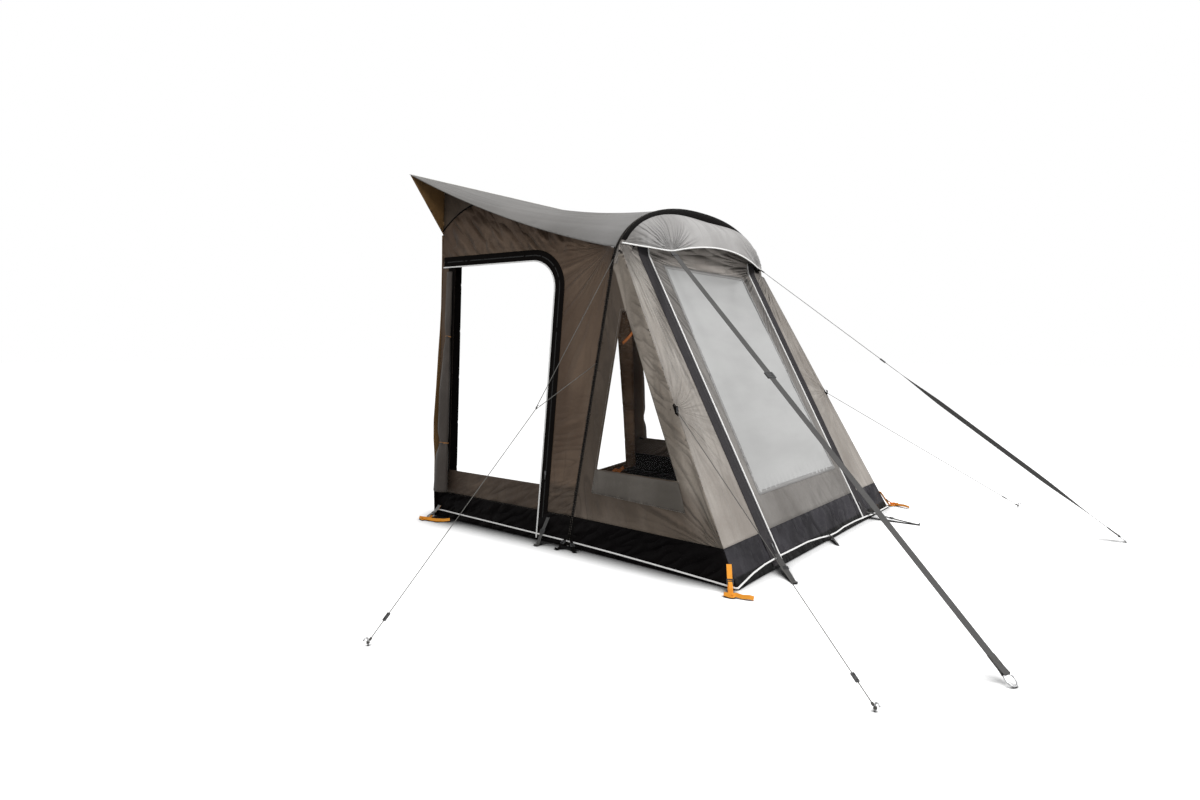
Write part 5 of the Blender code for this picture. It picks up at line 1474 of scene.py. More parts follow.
def build_inner_flaps():
    """Black flaps turned in along the ground, to be weighed down inside against the draught."""
    wide = FLAP_WIDTH
    for side, word in SIDES:
        def where(u, v, side=side):
            bunch = 0.055 * max(0.0, 1 - u / 0.3) ** 1.5 * smooth(v / 0.06)
            return place(u, side * (side_half(u, 0.0) - 0.006 - v), flap_lift(v) + bunch)
        wave = lambda u, v: 0.002 + abs(ripples(u, v, math.radians(80), 0.06, 0.22, 0.006, 110.0))
        far = front_out(0.0) - 0.012
        flap = sheet("inner_flap_" + word, [(0.004, 0.0), (far, 0.0), (far - wide, wide), (0.004, wide)],
                     where, SKIRT, (), wave, UP, 0.022, hold=0.03)
        cut_from_pattern(flap, "rear_mud_skirt_piece_" + word, held="laid")
    half = corner_half(0.0) - 0.012
    wave = lambda u, v: 0.002 + abs(ripples(u, v, math.radians(10), 0.06, 0.22, 0.006, 111.0))
    flap = sheet("inner_flap_front", [(-half, 0.0), (half, 0.0), (half - wide, wide), (wide - half, wide)],
                 lambda u, v: place(front_out(0.0) - 0.01 - v, u, flap_lift(v)), SKIRT, (), wave, UP,
                 0.022, hold=0.03)
    cut_from_pattern(flap, "front_mud_skirt_piece", held="laid")
    print("three inner flaps,", wide, "m wide")


SKIRT_FRONT = cloth("skirt_front_cloth", (0.016, 0.015, 0.017), (0.038, 0.036, 0.041), 0.48, 0.0,
                    (0.16, 0.3, 0.5), 0.7, 0.034, 0.3, 1.14, patches=(painted_shade_under_hem,))
build_skirts()
build_inner_flaps()

# %% [markdown]
# ## Zips
#
# Each doorway has a wide black zip band over its head and down its front edge, and each side of the front
# panel has a straight one. A zip is three things: a flat tape, a row of teeth, and a slider that can travel.
# The teeth are a row of small raised bars, because a line drawn on the tape would vanish from the side.

# %% Zip bands, teeth, piping and sliders
ZIP_PROUD, SLIDER_PROUD = 0.003, 0.0046
FRONT_ZIP_WIDTH, FRONT_ZIP_SHIFT, FRONT_PIPING_OUT = 0.112, 0.016, 0.04


def teeth(name, row, across):
    """Small bars across a line, 4 mm apart."""
    total = length_of(row)
    count = int(total / 0.0045)
    made, faces, index, passed = [], [], 0, 0.0
    for i in range(count):
        target = (i + 0.5) * total / count
        while index < len(row) - 2 and passed + (row[index + 1] - row[index]).length < target:
            passed += (row[index + 1] - row[index]).length
            index += 1
        step = row[index + 1] - row[index]
        at = row[index] + step.normalized() * (target - passed)
        way = step.normalized()
        side = across[index].cross(way).normalized() * 0.0035
        first = len(made)
        for x, y, z in ((-1, -1, 0), (1, -1, 0), (1, 1, 0), (-1, 1, 0), (-1, -1, 1), (1, -1, 1), (1, 1, 1),
                        (-1, 1, 1)):
            made.append(at + way * x * 0.0011 + side * y + across[index] * (z * 0.0016 + ZIP_PROUD - 0.0006))
        faces += [tuple(first + k for k in f)
                  for f in ((4, 5, 6, 7), (0, 1, 5, 4), (1, 2, 6, 5), (2, 3, 7, 6), (3, 0, 4, 7),
                            (3, 2, 1, 0))]
    return mesh_piece(name, made, faces, COIL, rounded=False)


def slider(name, seat, along, away, body):
    """A slider body and a hanging pull with an eye."""
    turn = frame_at(seat + away * 0.003, along, away)
    shell = rounded_block(name + "_piece", (0.024, 0.014, 0.006), 0.0018, ZIP_METAL, turn, body)
    pull = rounded_block(name + "_pull", (0.04, 0.009, 0.0022), 0.0009, GREY_PLASTIC,
                         turn @ Matrix.Translation((-0.0235, 0, 0.0018)), body,
                         [((0.01, 0.004, 0.01), (-0.013, 0, 0))])
    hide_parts(name)


def build_door_zip(side, word):
    where = side_point(side)
    inner, outer = door_edge(0), door_edge(DOOR_ZIP)
    wave = lambda u, v: ripples(u, v, math.radians(45), 0.03, 0.1, 0.002, 90.0)
    band = sheet("door_zip_piece_" + word, inner + outer[::-1], where, DOOR_TAPE, (), wave,
                 Vector((side, 0, 0)), 0.016, hold=0.02, sink=-ZIP_PROUD)
    cut_from_pattern(band, "rear_side_panel_piece_" + word, band=DOOR_ZIP)
    middle = door_edge(DOOR_ZIP / 2, 0.016, 40)
    row = [where(out, z) for out, z in middle]
    across = [normal if normal.x * side > 0 else -normal
              for normal in (surface_normal(where, *p) for p in middle)]
    teeth("door_zip_teeth_" + word, row, across)
    edge = [where(out, z) + Vector((side * (ZIP_PROUD + 0.0038), 0, 0)) for out,
            z in resample(inner, 0.02, False)]
    tube("door_piping_" + word, edge, 0.005, PIPING, SHELL, 10)
    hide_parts("door_zip_" + word)
    out = DOOR_FRONT + DOOR_ZIP / 2
    low, high = where(out, 0.44), where(out, DOOR_HEAD - DOOR_CORNER)
    along = (high - low).normalized()
    away = along.cross(Vector((0, 1, 0))).normalized() * -side
    slider("door_zip_slider_" + word, low + away * SLIDER_PROUD, along, away, "door_slider_" + word)


def build_front_zip(side, word):
    foot, head = place(front_out(0.012), side * CENTRE_HALF,
                       0.012), place(front_out(1.84), side * CENTRE_HALF, 1.84)
    along = (head - foot).normalized()
    away = along.cross(Vector((-1, 0, 0))).normalized()
    under_visor = [front_point(side * CENTRE_HALF, z) for z in np.linspace(1.864, 1.95, 8)]
    ways = [away] * 61 + [(away + OUTWARDS).normalized()] + [OUTWARDS] * 7
    path = [p + way * (0.0022 + 0.0012 * noise.noise(p * 9)) for p,
            way in zip(run(foot, head, 60) + under_visor, ways)]
    strip = ribbon("front_zip_piece_" + word, [p + Vector((side * FRONT_ZIP_SHIFT, 0, 0)) for p in path],
                   ways, FRONT_ZIP_WIDTH, 0.0022, ZIP_TAPE)
    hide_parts("front_zip_" + word)
    teeth("front_zip_teeth_" + word, run(foot, head, 30), [away] * 31)
    shift = Vector((-side * FRONT_PIPING_OUT, 0, 0)) + away * 0.0035
    tube("front_zip_piping_" + word, [p + shift for p in run(foot, head, 60) + under_visor], 0.0058,
                 PIPING, SHELL, 10)
    slider("front_zip_slider_" + word, foot + along * 0.11 + away * SLIDER_PROUD, along, away, "front_slider_"
           + word)


for side, word in SIDES:
    build_door_zip(side, word)
    build_front_zip(side, word)
print("zips done")

# %% [markdown]
# ## Rolled doors
#
# Each door is unzipped, rolled up from its free edge and tied beside the caravan. A rolled cloth is a spiral,
# so the piece is a spiral swept up the doorway's rear edge, thicker at the foot, with flutes where the ties
# pinch it.

# %% Rolled doors and their ties
ROLL_FOOT, ROLL_TOP, ROLL_OUT, ROLL_DEPTH, ROLL_STAND = 0.205, 1.815, 0.098, 0.108, 0.066
ROLL_TIES, RIGHT_ROLL_NEARER = (0.56, 1.34), 0.036
ROLL_TURNS, ROLL_SIDES = 6.0, 22


def roll_size(z):
    pinch = sum(0.3 * math.exp(-((z - tie) / 0.06) ** 2) for tie in ROLL_TIES)
    full = float(np.interp(z, (0.2, 0.4, 0.75, 0.95, 1.2, 1.75), (1.3, 1.2, 1.02, 0.98, 0.66, 0.48)))
    return full * (1 - pinch)


def roll_centre(side, z, size):
    out = ROLL_OUT if side < 0 else ROLL_OUT - RIGHT_ROLL_NEARER
    return place(out, side * (wall_half(out, z) + 0.004 + ROLL_STAND / 2 * size), z)


def build_roll(side, word):
    rows = []
    levels = np.linspace(ROLL_FOOT, ROLL_TOP, 78)
    steps = int(ROLL_TURNS * ROLL_SIDES)
    for z in levels:
        size = roll_size(z)
        centre = roll_centre(side, z, size)
        row = []
        for i in range(steps + 1):
            turn = i / ROLL_SIDES
            angle = 2 * math.pi * turn + 0.35 * math.sin(z * 2.3)
            reach = 1 - 0.13 * turn
            uneven = noise.noise(Vector((math.cos(angle) * 2, math.sin(angle) * 2, z * 5)))
            flute = 1 + 0.05 * math.sin(4 * angle + 3 * z) + 0.04 * uneven
            stand = side * math.sin(angle) * ROLL_STAND / 2 * 0.94
            spoke = Vector((stand, math.cos(angle) * ROLL_DEPTH / 2, 0))
            row.append(centre + spoke * reach * flute * size)
        rows.append(row)
    points = [p for row in rows for p in row]
    faces = grid(len(rows), steps + 1)
    roll = thicken(mesh_piece("rolled_door_piece_" + word, points, faces, ROLL_CLOTH), 0.0016, -1.0)
    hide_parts("rolled_door_" + word)
    for number, z in enumerate(ROLL_TIES):
        size = roll_size(z)
        centre = roll_centre(side, z, size)
        thin, deep = ROLL_STAND / 2 * size + 0.0016, ROLL_DEPTH / 2 * size + 0.002
        loop = [centre + Vector((side * math.sin(a) * thin, math.cos(a) * deep, 0.004 * math.sin(a)))
                for a in np.linspace(0, 2 * math.pi, 31)]
        ways = [(p - centre).normalized() for p in loop]
        tie = ribbon("door_tie_%d_%s" % (number, word), loop, ways, 0.007, 0.0014, TIE_TAPE)
        at = centre + Vector((side * (ROLL_STAND / 2 * size + 0.0045), -0.01, 0))
        toggle = rounded_block("door_toggle_%d_%s" % (number, word), (0.005, 0.024, 0.008), 0.0018,
                               BLACK_PLASTIC, Matrix.Translation(at), SHELL)
    flare = lambda z: float(np.interp(z, (0, .06, .18, .45, .58, .72, .95, 1.22, 1.4, 1.56, 1.92, 2.08),
                                      (.022, .024, .031, .033, .046, .049, .034, .021, .010, .004, .006,
                                       .010)))
    # The flaps at the caravan take the painted backlight cloth; their feet take the black skirt cloth.
    for name, levels, finish in (("caravan_flap_", np.linspace(SKIRT_HEIGHT, 2.088, 40), PAINTED_BACKLIGHT_CLOTH),
                                 ("caravan_flap_foot_", np.linspace(0.001, SKIRT_HEIGHT, 6), SKIRT)):
        outline = [(side * (wall_half(0, z) - 0.006), z) for z in levels]
        outline += [(side * (wall_half(0, z) + flare(z)), z) for z in reversed(levels)]
        flap = sheet(name + word, outline if side > 0 else outline[::-1], lambda x, z: place(0.0026, x, z),
                     finish, (), lambda u, v: ripples(u, v, 1.57, .03, .4, .003, 3), FORWARD, 0.012,
                     hold=0.02)
        cut_from_pattern(flap, "rear_side_panel_piece_" + word, band=0.035)
    print("rolled door", word, len(roll.data.vertices))


for side, word in SIDES:
    build_roll(side, word)

# %% [markdown]
# ## Draught pads
#
# A padded strip stands behind each doorway's rear edge and presses against the caravan to keep the wind out.
# It is foam in a cloth cover, so it is grown by a cloth simulation: a thin closed strip is remeshed, blown up
# a little from inside with gravity off, and the result is kept. Sewn channels are pressed in afterwards.

# %% Padded strips grown by a cloth simulation
PAD_WIDTH, PAD_THICKNESS, PAD_TOP = 0.172, 0.035, 2.08
PAD_CHANNELS = 6


def pad_seed():
    """The pad's slightly smaller starting shape, upright, its back at y = 0."""
    size = (PAD_WIDTH - 0.012, PAD_THICKNESS - 0.014, PAD_TOP - 0.012)
    return box("pad_seed", size, (0, -PAD_THICKNESS / 2, PAD_TOP / 2))


def remesh(item, voxel):
    fine = item.modifiers.new("remesh", "REMESH")
    fine.mode, fine.voxel_size = "VOXEL", voxel
    return bake(item)


def blow_up(item, voxel=0.0065, cap=0.007, frames=20):
    remesh(item, voxel)
    start = np.array([v.co for v in item.data.vertices])
    cloth_step = item.modifiers.new("cloth", "CLOTH")
    cloth_step.settings.use_pressure, cloth_step.settings.uniform_pressure_force = True, 4.0
    cloth_step.settings.effector_weights.gravity = 0.0
    cloth_step.settings.quality = 3
    cloth_step.collision_settings.use_collision = False
    for number in range(1, frames + 1):
        SCENE.frame_set(number)
    graph = bpy.context.evaluated_depsgraph_get()
    ended = np.array([v.co for v in item.evaluated_get(graph).data.vertices])
    item.modifiers.clear()
    SCENE.frame_set(1)
    moved = ended - start
    far = np.maximum(np.linalg.norm(moved, axis=1), 1e-9)
    return start + moved * np.minimum(1.0, cap / far)[:, None]


def pad_lean(side, z):
    """The right pad hangs a little away from its wall, on an apron of cloth."""
    return float(np.interp(z, (0.1, 0.6, 1.35, 1.75, 2.08),
                           (0.0, 0.027, 0.09, 0.08, 0.0))) if side > 0 else 0.0


def build_apron():
    levels = np.linspace(0.14, 2.05, 40)
    outline = [(wall_half(0, z) - 0.0045, z) for z in levels]
    outline += [(wall_half(0, z) - 0.012 - pad_lean(1, z), z) for z in reversed(levels)]
    wave = lambda u, v: ripples(u, v, math.radians(20), 0.05, 0.2, 0.005, 120.0)
    apron = sheet("pad_apron", outline, lambda x, z: place(0.012, x, z), PAD_BROWN, (), wave, FORWARD, 0.014,
                  hold=0.03)
    cut_from_pattern(apron, "rear_side_panel_piece_right", band=0.09)


def build_pads():
    seed = pad_seed()
    shape = blow_up(seed)
    faces = [tuple(p.vertices) for p in seed.data.polygons]
    bpy.data.objects.remove(seed)
    shape[:, 0] = np.clip(shape[:, 0], -PAD_WIDTH / 2, PAD_WIDTH / 2)
    pitch = PAD_TOP / PAD_CHANNELS
    for row in shape:
        near = abs((row[2] + pitch / 2) % pitch - pitch / 2)
        press = 0.0065 * math.exp(-(near / 0.01) ** 2) if 0.04 < row[2] < PAD_TOP - 0.04 else 0.0
        middle = -PAD_THICKNESS / 2
        row[1] = middle + (row[1] - middle) * max(1 - press / 0.016, 0.4)
        row[1] = min(row[1], -0.0002)
        row[2] = min(max(row[2], 0.0), PAD_TOP)
    for side, word in SIDES:
        points = []
        for x, y, z in shape:
            middle = wall_half(0, z) - CLOTH - 0.001 - PAD_WIDTH / 2 - pad_lean(side, z)
            points.append((side * (middle + x), CARAVAN_Y + y, z))
        pad = mesh_piece("draught_pad_piece_" + word, points, faces, PAD_CLOTH if side < 0 else PAD_BROWN)
        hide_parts("draught_pad_" + word)
        if side > 0:
            band = [Vector((mix(0.985, 1.165, t), CARAVAN_Y - PAD_THICKNESS - 0.003 - 0.01
                            * math.sin(math.pi * t), mix(1.312, 1.44, t))) for t in np.linspace(0, 1, 12)]
            ribbon("pad_tag", band, [FORWARD] * 12, 0.03, 0.0018, TAG)
    print("pad", len(shape), "points, simulated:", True)


build_apron()
build_pads()

# %% [markdown]
# ## Window covers and patches
#
# A cover for each triangular window is stowed in a flat pocket below it. Where a line or strap pulls on the
# cloth, the sewer adds a patch of stronger cloth to spread the load. Both lie on the panel, so each is cut
# from the same surface and raised by a seam's thickness.

# %% Window covers and patches
PATCH_PROUD, PATCH_HALF, COVER_PROUD = 0.002, 0.036, 0.0045


def build_details(side, word):
    where = side_point(side)
    outwards = Vector((side, 0, 0))
    outline = [(1.466, 0.362), (2.163, 0.342), (2.1, 0.503), (1.48, 0.503)]
    fold = lambda u, v: 0.004 + ripples(u, v, math.radians(12), 0.05, 0.35, 0.006, 100.0)
    cover = sheet("window_cover_" + word, outline, where, COVER, (), fold, outwards, 0.018, hold=0.03,
                  sink=-0.0024)
    cut_from_pattern(cover, "front_side_panel_piece_" + word)
    rows = [[where(*p) + outwards * COVER_PROUD for p in resample([outline[0], outline[1]], 0.04, False)],
            [where(*p) + outwards * COVER_PROUD for p in resample([outline[0], outline[3]], 0.04, False)]]
    window_seam = [(TRI[0][0] - 0.014, 0.496), (TRI[3][0] - 0.014, 1.504), (TRI[2][0] + 0.014, 1.504),
                   (TRI[1][0] + 0.016, 0.496)]
    rows.append([where(*p) + outwards * 0.0012 for p in resample(window_seam, 0.05, False)])
    stitches("window_cover_stitches_" + word, rows, PALE_THREAD, 0.005, 0.007, 0.0007)
    z = CORNER_HEIGHT
    top, foot = z + PATCH_HALF, z - PATCH_HALF
    patch = [(front_out(top) - 0.001, top), (front_out(z) - 0.042, z), (front_out(foot) - 0.001, foot)]
    tab = sheet("corner_patch_side_" + word, patch, where, SLEEVE, (), None, outwards, 0.02,
                sink=-PATCH_PROUD)
    face = [(side * corner_half(top), top), (side * corner_half(foot), foot),
            (side * (corner_half(z) - 0.02), z)]
    front = sheet("corner_patch_front_" + word, face if side < 0 else face[::-1], front_point, SLEEVE, (),
                  None, OUTWARDS, 0.02, sink=-PATCH_PROUD)
    corner = place(front_out(z), side * corner_half(z), z)
    away = Vector((side * 0.6, -0.8, 0)).normalized()
    loop = [corner + UP * 0.022, corner + away * 0.006 + UP * 0.012, corner + away * 0.01,
            corner + away * 0.006 - UP * 0.012, corner - UP * 0.022]
    ribbon("corner_tab_" + word, loop, [away] * 5, 0.018, 0.0018, SLEEVE)
    bar = rounded_block("corner_toggle_" + word, (0.034, 0.009, 0.007), 0.0025, BLACK_PLASTIC,
                        frame_at(corner + away * 0.0125, UP, away), SHELL)
    gather = [front_point(side * corner_half(z) - side * 0.004, z) + away * 0.001
              for z in np.linspace(0.24, 1.82, 60)]
    stitches("corner_seam_" + word, [gather], THREAD)


COVER = cloth("cover_cloth", (0.076, 0.067, 0.057), (0.118, 0.106, 0.093))
for side, word in SIDES:
    build_details(side, word)
print("covers and patches done")

# %% [markdown]
# ## Pegging straps
#
# Orange straps hold the four corners: each runs from the skirt through a ladder buckle to a peg. The grey
# ones hold the foot of each zip and of the arch. All lie on the ground at their ends, and a strap that floats
# would give the picture away.

# %% Orange corner straps, grey foot straps and pegs
CORNER_RISE, CORNER_REACH, CORNER_FLAT = 0.095, 0.1, 0.05
AWAY_CORNER = (0.82, 0.572)
PEG_HEAD = 0.017


LOOSE_ENDS = {"front_corner_strap_left": ((0.03, -0.03), (0.05, -0.036), (0.062, -0.01), (0.06, 0.02),
                                          (0.075, 0.05), (0.088, 0.085), (0.092, 0.105)),
              "front_corner_strap_right": ((0.015, 0.02), (0.035, 0.0), (0.05, -0.04), (0.06, -0.085),
                                           (0.07, -0.13)),
              "rear_corner_strap_left": ((0.04, -0.05), (0.052, -0.02), (0.03, 0.01), (0.036, 0.05),
                                         (0.02, 0.085), (0.024, 0.125), (-0.02, 0.16), (-0.05, 0.19)),
              "rear_corner_strap_right": ((0.04, -0.01), (0.026, 0.024), (0.004, 0.052), (-0.022, 0.082),
                                          (-0.034, 0.12))}


def ground_peg(name, at, away, finish, head=PEG_HEAD):
    """A peg's hooked head: a stem, a disc and a short hook, all just above the ground."""
    reach = head * 0.72
    ring = [at + Vector((math.cos(a) * reach, math.sin(a) * reach, 0.006))
            for a in np.linspace(0, 2 * math.pi, 25)[:-1]]
    disc = tube(name, ring, head * 0.28, finish, SHELL, 10, closed=True)
    tube(name + "_stem", [at, at + UP * 0.013, at + UP * 0.0165 + away * 0.004, at + UP * 0.0175 + away
                          * 0.012], 0.0042, finish, SHELL, 10)
    return disc


def corner_strap(name, top, away, upper=None):
    foot = Vector((top.x, top.y, 0)) + away * CORNER_REACH
    foot.z = 0.0022
    path = [top + away * 0.004 + UP * 0.004, top.lerp(foot, 0.25) + away * 0.006, top.lerp(foot, 0.55) + away
            * 0.004, top.lerp(foot, 0.85) + away * 0.001, foot + away * 0.004, foot + away * 0.02,
            foot + away * CORNER_FLAT]
    slope = (foot - top).normalized()
    across = UP.cross(away).normalized()
    face = slope.cross(across)
    face = face if face.z > 0 else -face
    ways = [face, face, face, face, (face + UP * 2).normalized(), UP, UP]
    strap = ribbon(name + "_piece", path, ways, 0.028, 0.0026, ORANGE)
    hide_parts(name)
    mid = top.lerp(foot, 0.62) + away * 0.0035
    holes = [((0.007, 0.024, 0.02), (s * 0.0065, 0, 0)) for s in (-1, 1)]
    buckle = rounded_block(name + "_buckle", (0.03, 0.036, 0.0075), 0.0018, BLACK_PLASTIC,
                           frame_at(mid + face * 0.003, slope, face), SHELL, holes)
    tail = [mid + face * 0.004, mid + face * 0.016 + slope * 0.02, mid + face * 0.02 + slope * 0.044,
            mid + face * 0.012 + slope * 0.066]
    ribbon(name + "_tail", tail, [face] * 4, 0.022, 0.002, upper or ORANGE)
    if upper:
        sleeve = [top + away * 0.006 + UP * 0.008, top.lerp(foot, 0.25) + away * 0.009, top.lerp(foot, 0.55)
                  + away * 0.008]
        ribbon(name + "_webbing", sleeve, [face] * 3, 0.032, 0.0022, upper)
    lie = [foot + away * (0.012 + s) + across * w + UP * (0.0095 + 0.004 * (i % 2))
           for i, (s, w) in enumerate(LOOSE_ENDS[name])]
    lean = [(UP * 0.5 + away).normalized()] * len(lie)
    ribbon(name + "_loose_end", lie, lean, 0.022, 0.002, ORANGE)
    return foot + away * CORNER_FLAT


def foot_strap(name, top, foot, width=0.025, finish=WEBBING):
    """A grey strap from the skirt to the ground, with a buckle and an upturned end loop."""
    away = Vector((foot.x - top.x, foot.y - top.y, 0)).normalized()
    across = UP.cross(away)
    down = [top, top.lerp(foot, 0.35), top.lerp(foot, 0.7), foot - away * 0.012 + UP * 0.0022,
            foot + UP * 0.0016, foot + away * 0.016 + UP * 0.005, foot + away * 0.01 + UP * 0.012]
    slope = (foot - top).normalized()
    face = slope.cross(across)
    face = face if face.z > 0 else -face
    ways = [face, face, face, UP, UP, (UP - away).normalized(), -away]
    strap = ribbon(name, down, ways, width, 0.0022, finish)
    at = top.lerp(foot, 0.5)
    holes = [((0.006, width - 0.004, 0.02), (s * 0.0065, 0, 0)) for s in (-1, 1)]
    buckle = rounded_block(name + "_buckle", (0.028, width + 0.01, 0.007), 0.0018, BLACK_PLASTIC,
                           frame_at(at + face * 0.0012, slope, face), SHELL, holes)


for side, word in SIDES:
    z = CORNER_RISE + 0.022
    away = Vector((side * AWAY_CORNER[0], -AWAY_CORNER[1], 0)).normalized()
    end = corner_strap("front_corner_strap_" + word, place(front_out(z), side * corner_half(z), z), away)
    at = Vector((end.x, end.y, 0)) + away * (GAP + PEG_HEAD)
    disc = ground_peg("front_corner_peg_piece_" + word, at, away, ORANGE)
    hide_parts("front_corner_peg_" + word)
    out = 0.04
    end = corner_strap("rear_corner_strap_" + word, place(out, side * wall_half(out, 0.075), 0.075),
                       Vector((side, 0, 0)), PALE_WEBBING)
    ground_peg("rear_corner_peg_" + word, Vector((end.x + side * 0.01, end.y, 0)), Vector((side, 0, 0)),
               ORANGE, 0.014)
    where = side_point(side)
    foot_strap("door_foot_strap_" + word, where(1.128, 0.16) + Vector((side * 0.008, 0, 0)),
               place(1.14, side * 1.345, 0.0))
    foot_strap("arch_foot_strap_" + word, where(1.317, 0.075) + Vector((side * 0.01, 0, 0)),
               place(1.3, side * 1.322, 0.0), 0.022, SLEEVE)
    foot_strap("arch_foot_strap_front_" + word, where(1.334, 0.055) + Vector((side * 0.01, 0, 0)),
               place(1.42, side * 1.3, 0.0), 0.018, SLEEVE)
zip_feet = {"left": ((-0.739, 2.5, 0.07), (-0.96, 2.708)), "right": ((0.8, 2.505, 0.04), (0.812, 2.866))}
for word, (top, foot) in zip_feet.items():
    foot_strap("zip_foot_strap_" + word, place(top[1], top[0], top[2]), place(foot[1], foot[0], 0.0), 0.03)
loop = [place(front_out(0.03) + 0.008, 0.03, 0.03), place(2.555, 0.0, 0.022), place(2.61, -0.075, 0.006),
        place(2.625, -0.09, 0.002), place(2.6, -0.05, 0.004), place(2.54, 0.02, 0.01)]
ribbon("hem_loop", loop, [Vector((0, -0.5, 1)).normalized()] * 3 + [UP, UP, UP], 0.012, 0.0018,
               WEBBING)
for side, word in SIDES:
    outline = [(0.54, 0.0), (1.2, 0.0), (1.2, 0.13), (0.54, 0.09)]
    lie = lambda u, v, side=side: place(0.05 - v * 0.3, side * u, v + 0.002)
    fold = lambda u, v: ripples(u, v, 0.2, 0.04, 0.2, 0.006, 130.0)
    tuck = sheet("rear_tuck_" + word, outline if side > 0 else outline[::-1], lie, PAD_BROWN, (), fold,
                 FORWARD, 0.02, hold=0.02)
    cut_from_pattern(tuck, "inner_flap_" + word, held="laid")
    band = [place(0.066, side * x, z) for x, z in ((0.78, 0.04), (0.84, 0.075), (0.91, 0.055), (0.98, 0.082))]
    ribbon("rear_tuck_strap_" + word, band, [Vector((0, -1, 0.3)).normalized()] * 4, 0.034, 0.0018,
                   TAG)
print("pegging straps done")

# %% [markdown]
# ## The valve
#
# The beam is filled through a valve on the inside of the left leg. A ribbed collar screws in, and a cap on a
# hinge covers it, so the cap rides on its own body.

# %% Valve collar and cap
VALVE_HEIGHT, VALVE_RADIUS, VALVE_LENGTH, CAP_THICKNESS, BEAM_RADIUS = 0.52, 0.021, 0.016, 0.006, 0.0547


def turned(name, profile, matrix, finish, body, sides=40, ribs=0.0):
    """A lathe profile of (radius, height) pairs, with optional grip ribs."""
    points = []
    for radius, height in profile:
        for k in range(sides):
            size = radius * (1 + (ribs if k % 2 else 0.0)) if radius > VALVE_RADIUS * 0.7 else radius
            turn = 2 * math.pi * k / sides
            points.append(matrix @ Vector((size * math.cos(turn), size * math.sin(turn), height)))
    faces = bands(len(profile), sides) + end_faces(len(profile), sides)
    return mesh_piece(name, points, faces, finish, body)


def build_valve():
    legs = []
    for i in range(2):
        z = SPRING_HEIGHT * i / 5
        legs.append(place(arch_out(z), -leg_half(z), z))
    run_x, run_z = legs[1].x - legs[0].x, legs[1].z - legs[0].z
    far = math.hypot(run_x, run_z)
    inset = Vector((run_z / far * ARCH_INSET, 0, -run_x / far * ARCH_INSET))
    first = place(arch_out(inset.z), legs[0].x + inset.x, inset.z)
    along = (legs[1] - legs[0]).normalized()
    inward = (Vector((1, 0, 0)) - along * along.x).normalized()
    turn = frame_at(first + along * VALVE_HEIGHT, along, inward)
    reach = BEAM_RADIUS + VALVE_LENGTH
    collar = turned("beam_valve_piece", [(0.0195, BEAM_RADIUS - 0.006), (0.0195, reach - 0.011),
                                         (0.0208, reach - 0.01), (0.0208, reach - 0.001), (0.0198, reach),
                                         (0.015, reach), (0.0145, reach - 0.002)], turn, BLACK_PLASTIC, SHELL,
                    40, 0.008)
    cap = turned("valve_cap_piece", [(0.016, reach + GAP), (0.0168, reach + GAP + 0.001),
                                     (0.0168, reach + 0.0048), (0.0155, reach + GAP + CAP_THICKNESS - 0.0004),
                                     (0.008, reach + GAP + CAP_THICKNESS)], turn, GREY_PLASTIC, "cap", 40,
                 0.01)
    ear = rounded_block("valve_cap_ear", (0.012, 0.008, 0.0055), 0.0015, GREY_PLASTIC,
                        turn @ Matrix.Translation((0.0185, 0, reach + GAP + CAP_THICKNESS / 2)), "cap")
    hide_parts("beam_valve")
    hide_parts("valve_cap")
    print("valve at", tuple(round(v, 3) for v in turn.translation))


build_valve()

# %% [markdown]
# ## Floor and light
#
# The object stands on a plain pale floor under soft studio light. The floor looks white to the camera and
# keeps the awning's shadow; near the awning, ambient occlusion darkens its colour and glow for the camera, a
# painted contact shadow along the hem. The key light stands in front and to the right, because in the
# photograph the front is the brighter face and the left wall lies in shade.

# %% Floor, world and lamps
FLOOR_PAINT, FLOOR_SIZE = (0.74, 0.74, 0.74), 60.0


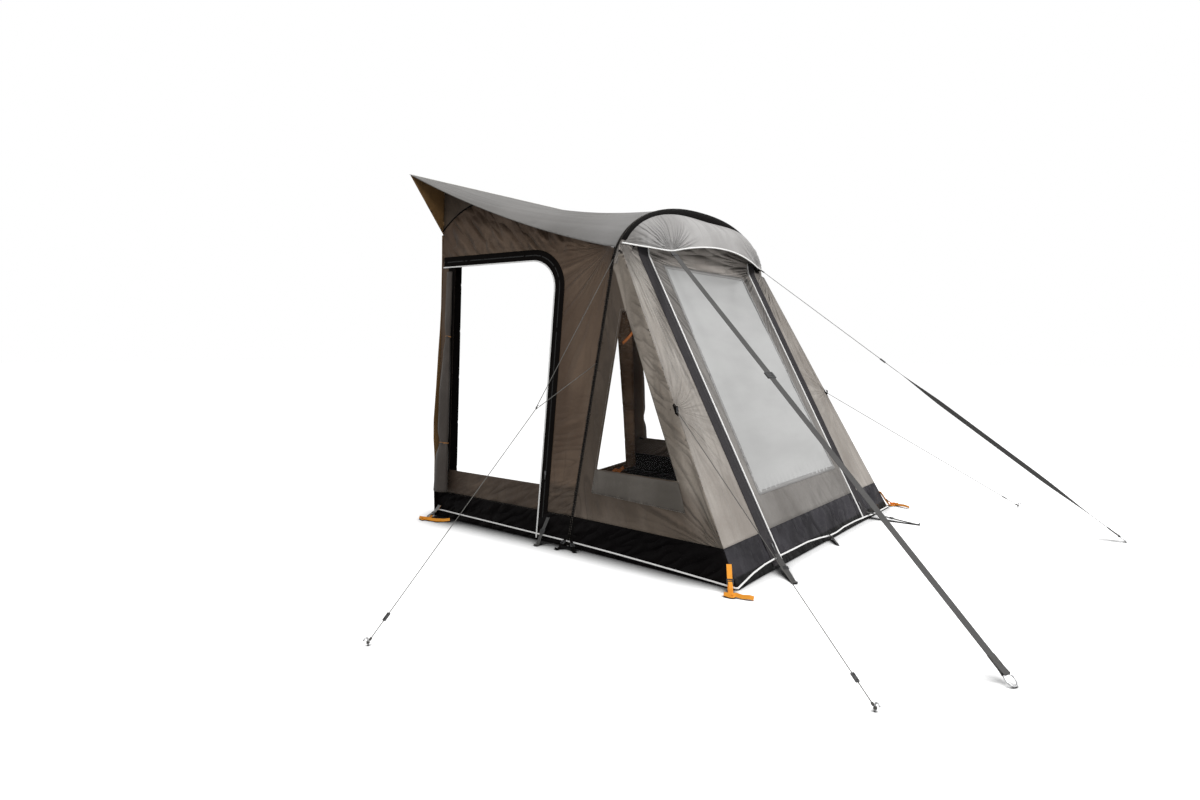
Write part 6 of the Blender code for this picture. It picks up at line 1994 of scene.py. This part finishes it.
def build_stage():
    paint = Finish("floor_paint", 0.9, base_color=(*FLOOR_PAINT, 1.0), specular_ior_level=0.0)
    seen = paint.node("ShaderNodeLightPath", output="Is Camera Ray")
    # Painted shadow: near the awning, ambient occlusion darkens the floor's colour and glow for the camera.
    near = paint.node("ShaderNodeAmbientOcclusion", {"samples": 16}, {"Distance": 0.36}, output="AO")
    clear_of_painted_shadow = paint.step(near, 0.52, 0.97)
    paint.set(base_color=paint.mix(1 - seen * (1 - clear_of_painted_shadow), (0.02, 0.02, 0.02), FLOOR_PAINT))
    glow = paint.node("ShaderNodeEmission", None, {"Color": (1, 1, 1, 1), "Strength": 0.72 * clear_of_painted_shadow})
    sum_up = paint.node("ShaderNodeAddShader", None, {})
    paint.tree.links.new(paint.shader.outputs[0], sum_up.socket.node.inputs[0])
    paint.tree.links.new(glow.socket, sum_up.socket.node.inputs[1])
    pick = paint.node("ShaderNodeMixShader", None, {0: seen})
    paint.tree.links.new(paint.shader.outputs[0], pick.socket.node.inputs[1])
    paint.tree.links.new(sum_up.socket, pick.socket.node.inputs[2])
    output = next(n for n in paint.tree.nodes if n.type == "OUTPUT_MATERIAL")
    paint.tree.links.new(pick.socket, output.inputs[0])
    size, mesh = FLOOR_SIZE, bpy.data.meshes.new("floor")
    mesh.from_pydata([(-size, -size, -0.002), (size, -size, -0.002), (size, size, -0.002),
                      (-size, size, -0.002)], [], [(0, 1, 2, 3)])
    mesh.materials.append(paint.material)
    put("floor", mesh)

    world = bpy.data.worlds.new("studio")
    world.use_nodes = True
    SCENE.world = world
    nodes, links = world.node_tree.nodes, world.node_tree.links
    backdrop = nodes["Background"]
    backdrop.inputs["Color"].default_value, backdrop.inputs["Strength"].default_value = (1, 1, 1, 1), 1.0
    fill_light = nodes.new("ShaderNodeBackground")
    fill_light.inputs["Color"].default_value, fill_light.inputs["Strength"].default_value = (1, 1, 1, 1), 0.46
    kinds = ("LightPath", "Math", "Math", "MixShader")
    path, widest, wider, choose = (nodes.new("ShaderNode" + kind) for kind in kinds)
    widest.operation = wider.operation = "MAXIMUM"
    links.new(path.outputs["Is Camera Ray"], widest.inputs[0])
    links.new(path.outputs["Is Glossy Ray"], widest.inputs[1])
    links.new(widest.outputs[0], wider.inputs[0])
    links.new(path.outputs["Is Transmission Ray"], wider.inputs[1])
    links.new(wider.outputs[0], choose.inputs[0])
    links.new(fill_light.outputs[0], choose.inputs[1])
    links.new(backdrop.outputs[0], choose.inputs[2])
    links.new(choose.outputs[0], nodes["World Output"].inputs[0])

    def lamp(name, at, aim, size, power):
        data = bpy.data.lights.new(name, "AREA")
        data.shape, data.size, data.energy = "DISK", size, power
        item = put(name, data)
        item.location = at
        item.rotation_euler = (Vector(aim) - Vector(at)).to_track_quat("-Z", "Y").to_euler()

    lamp("key", (1.5, -7.8, 5.4), (0, 0, 1.0), 2.6, 430)
    lamp("top", (-0.5, 0.5, 7.0), (0, 0, 1.0), 4.0, 130)
    lamp("left_fill", (-6.0, -4.5, 4.5), (0, 0, 1.0), 1.5, 130)
    print("floor, world and three lamps")


build_stage()
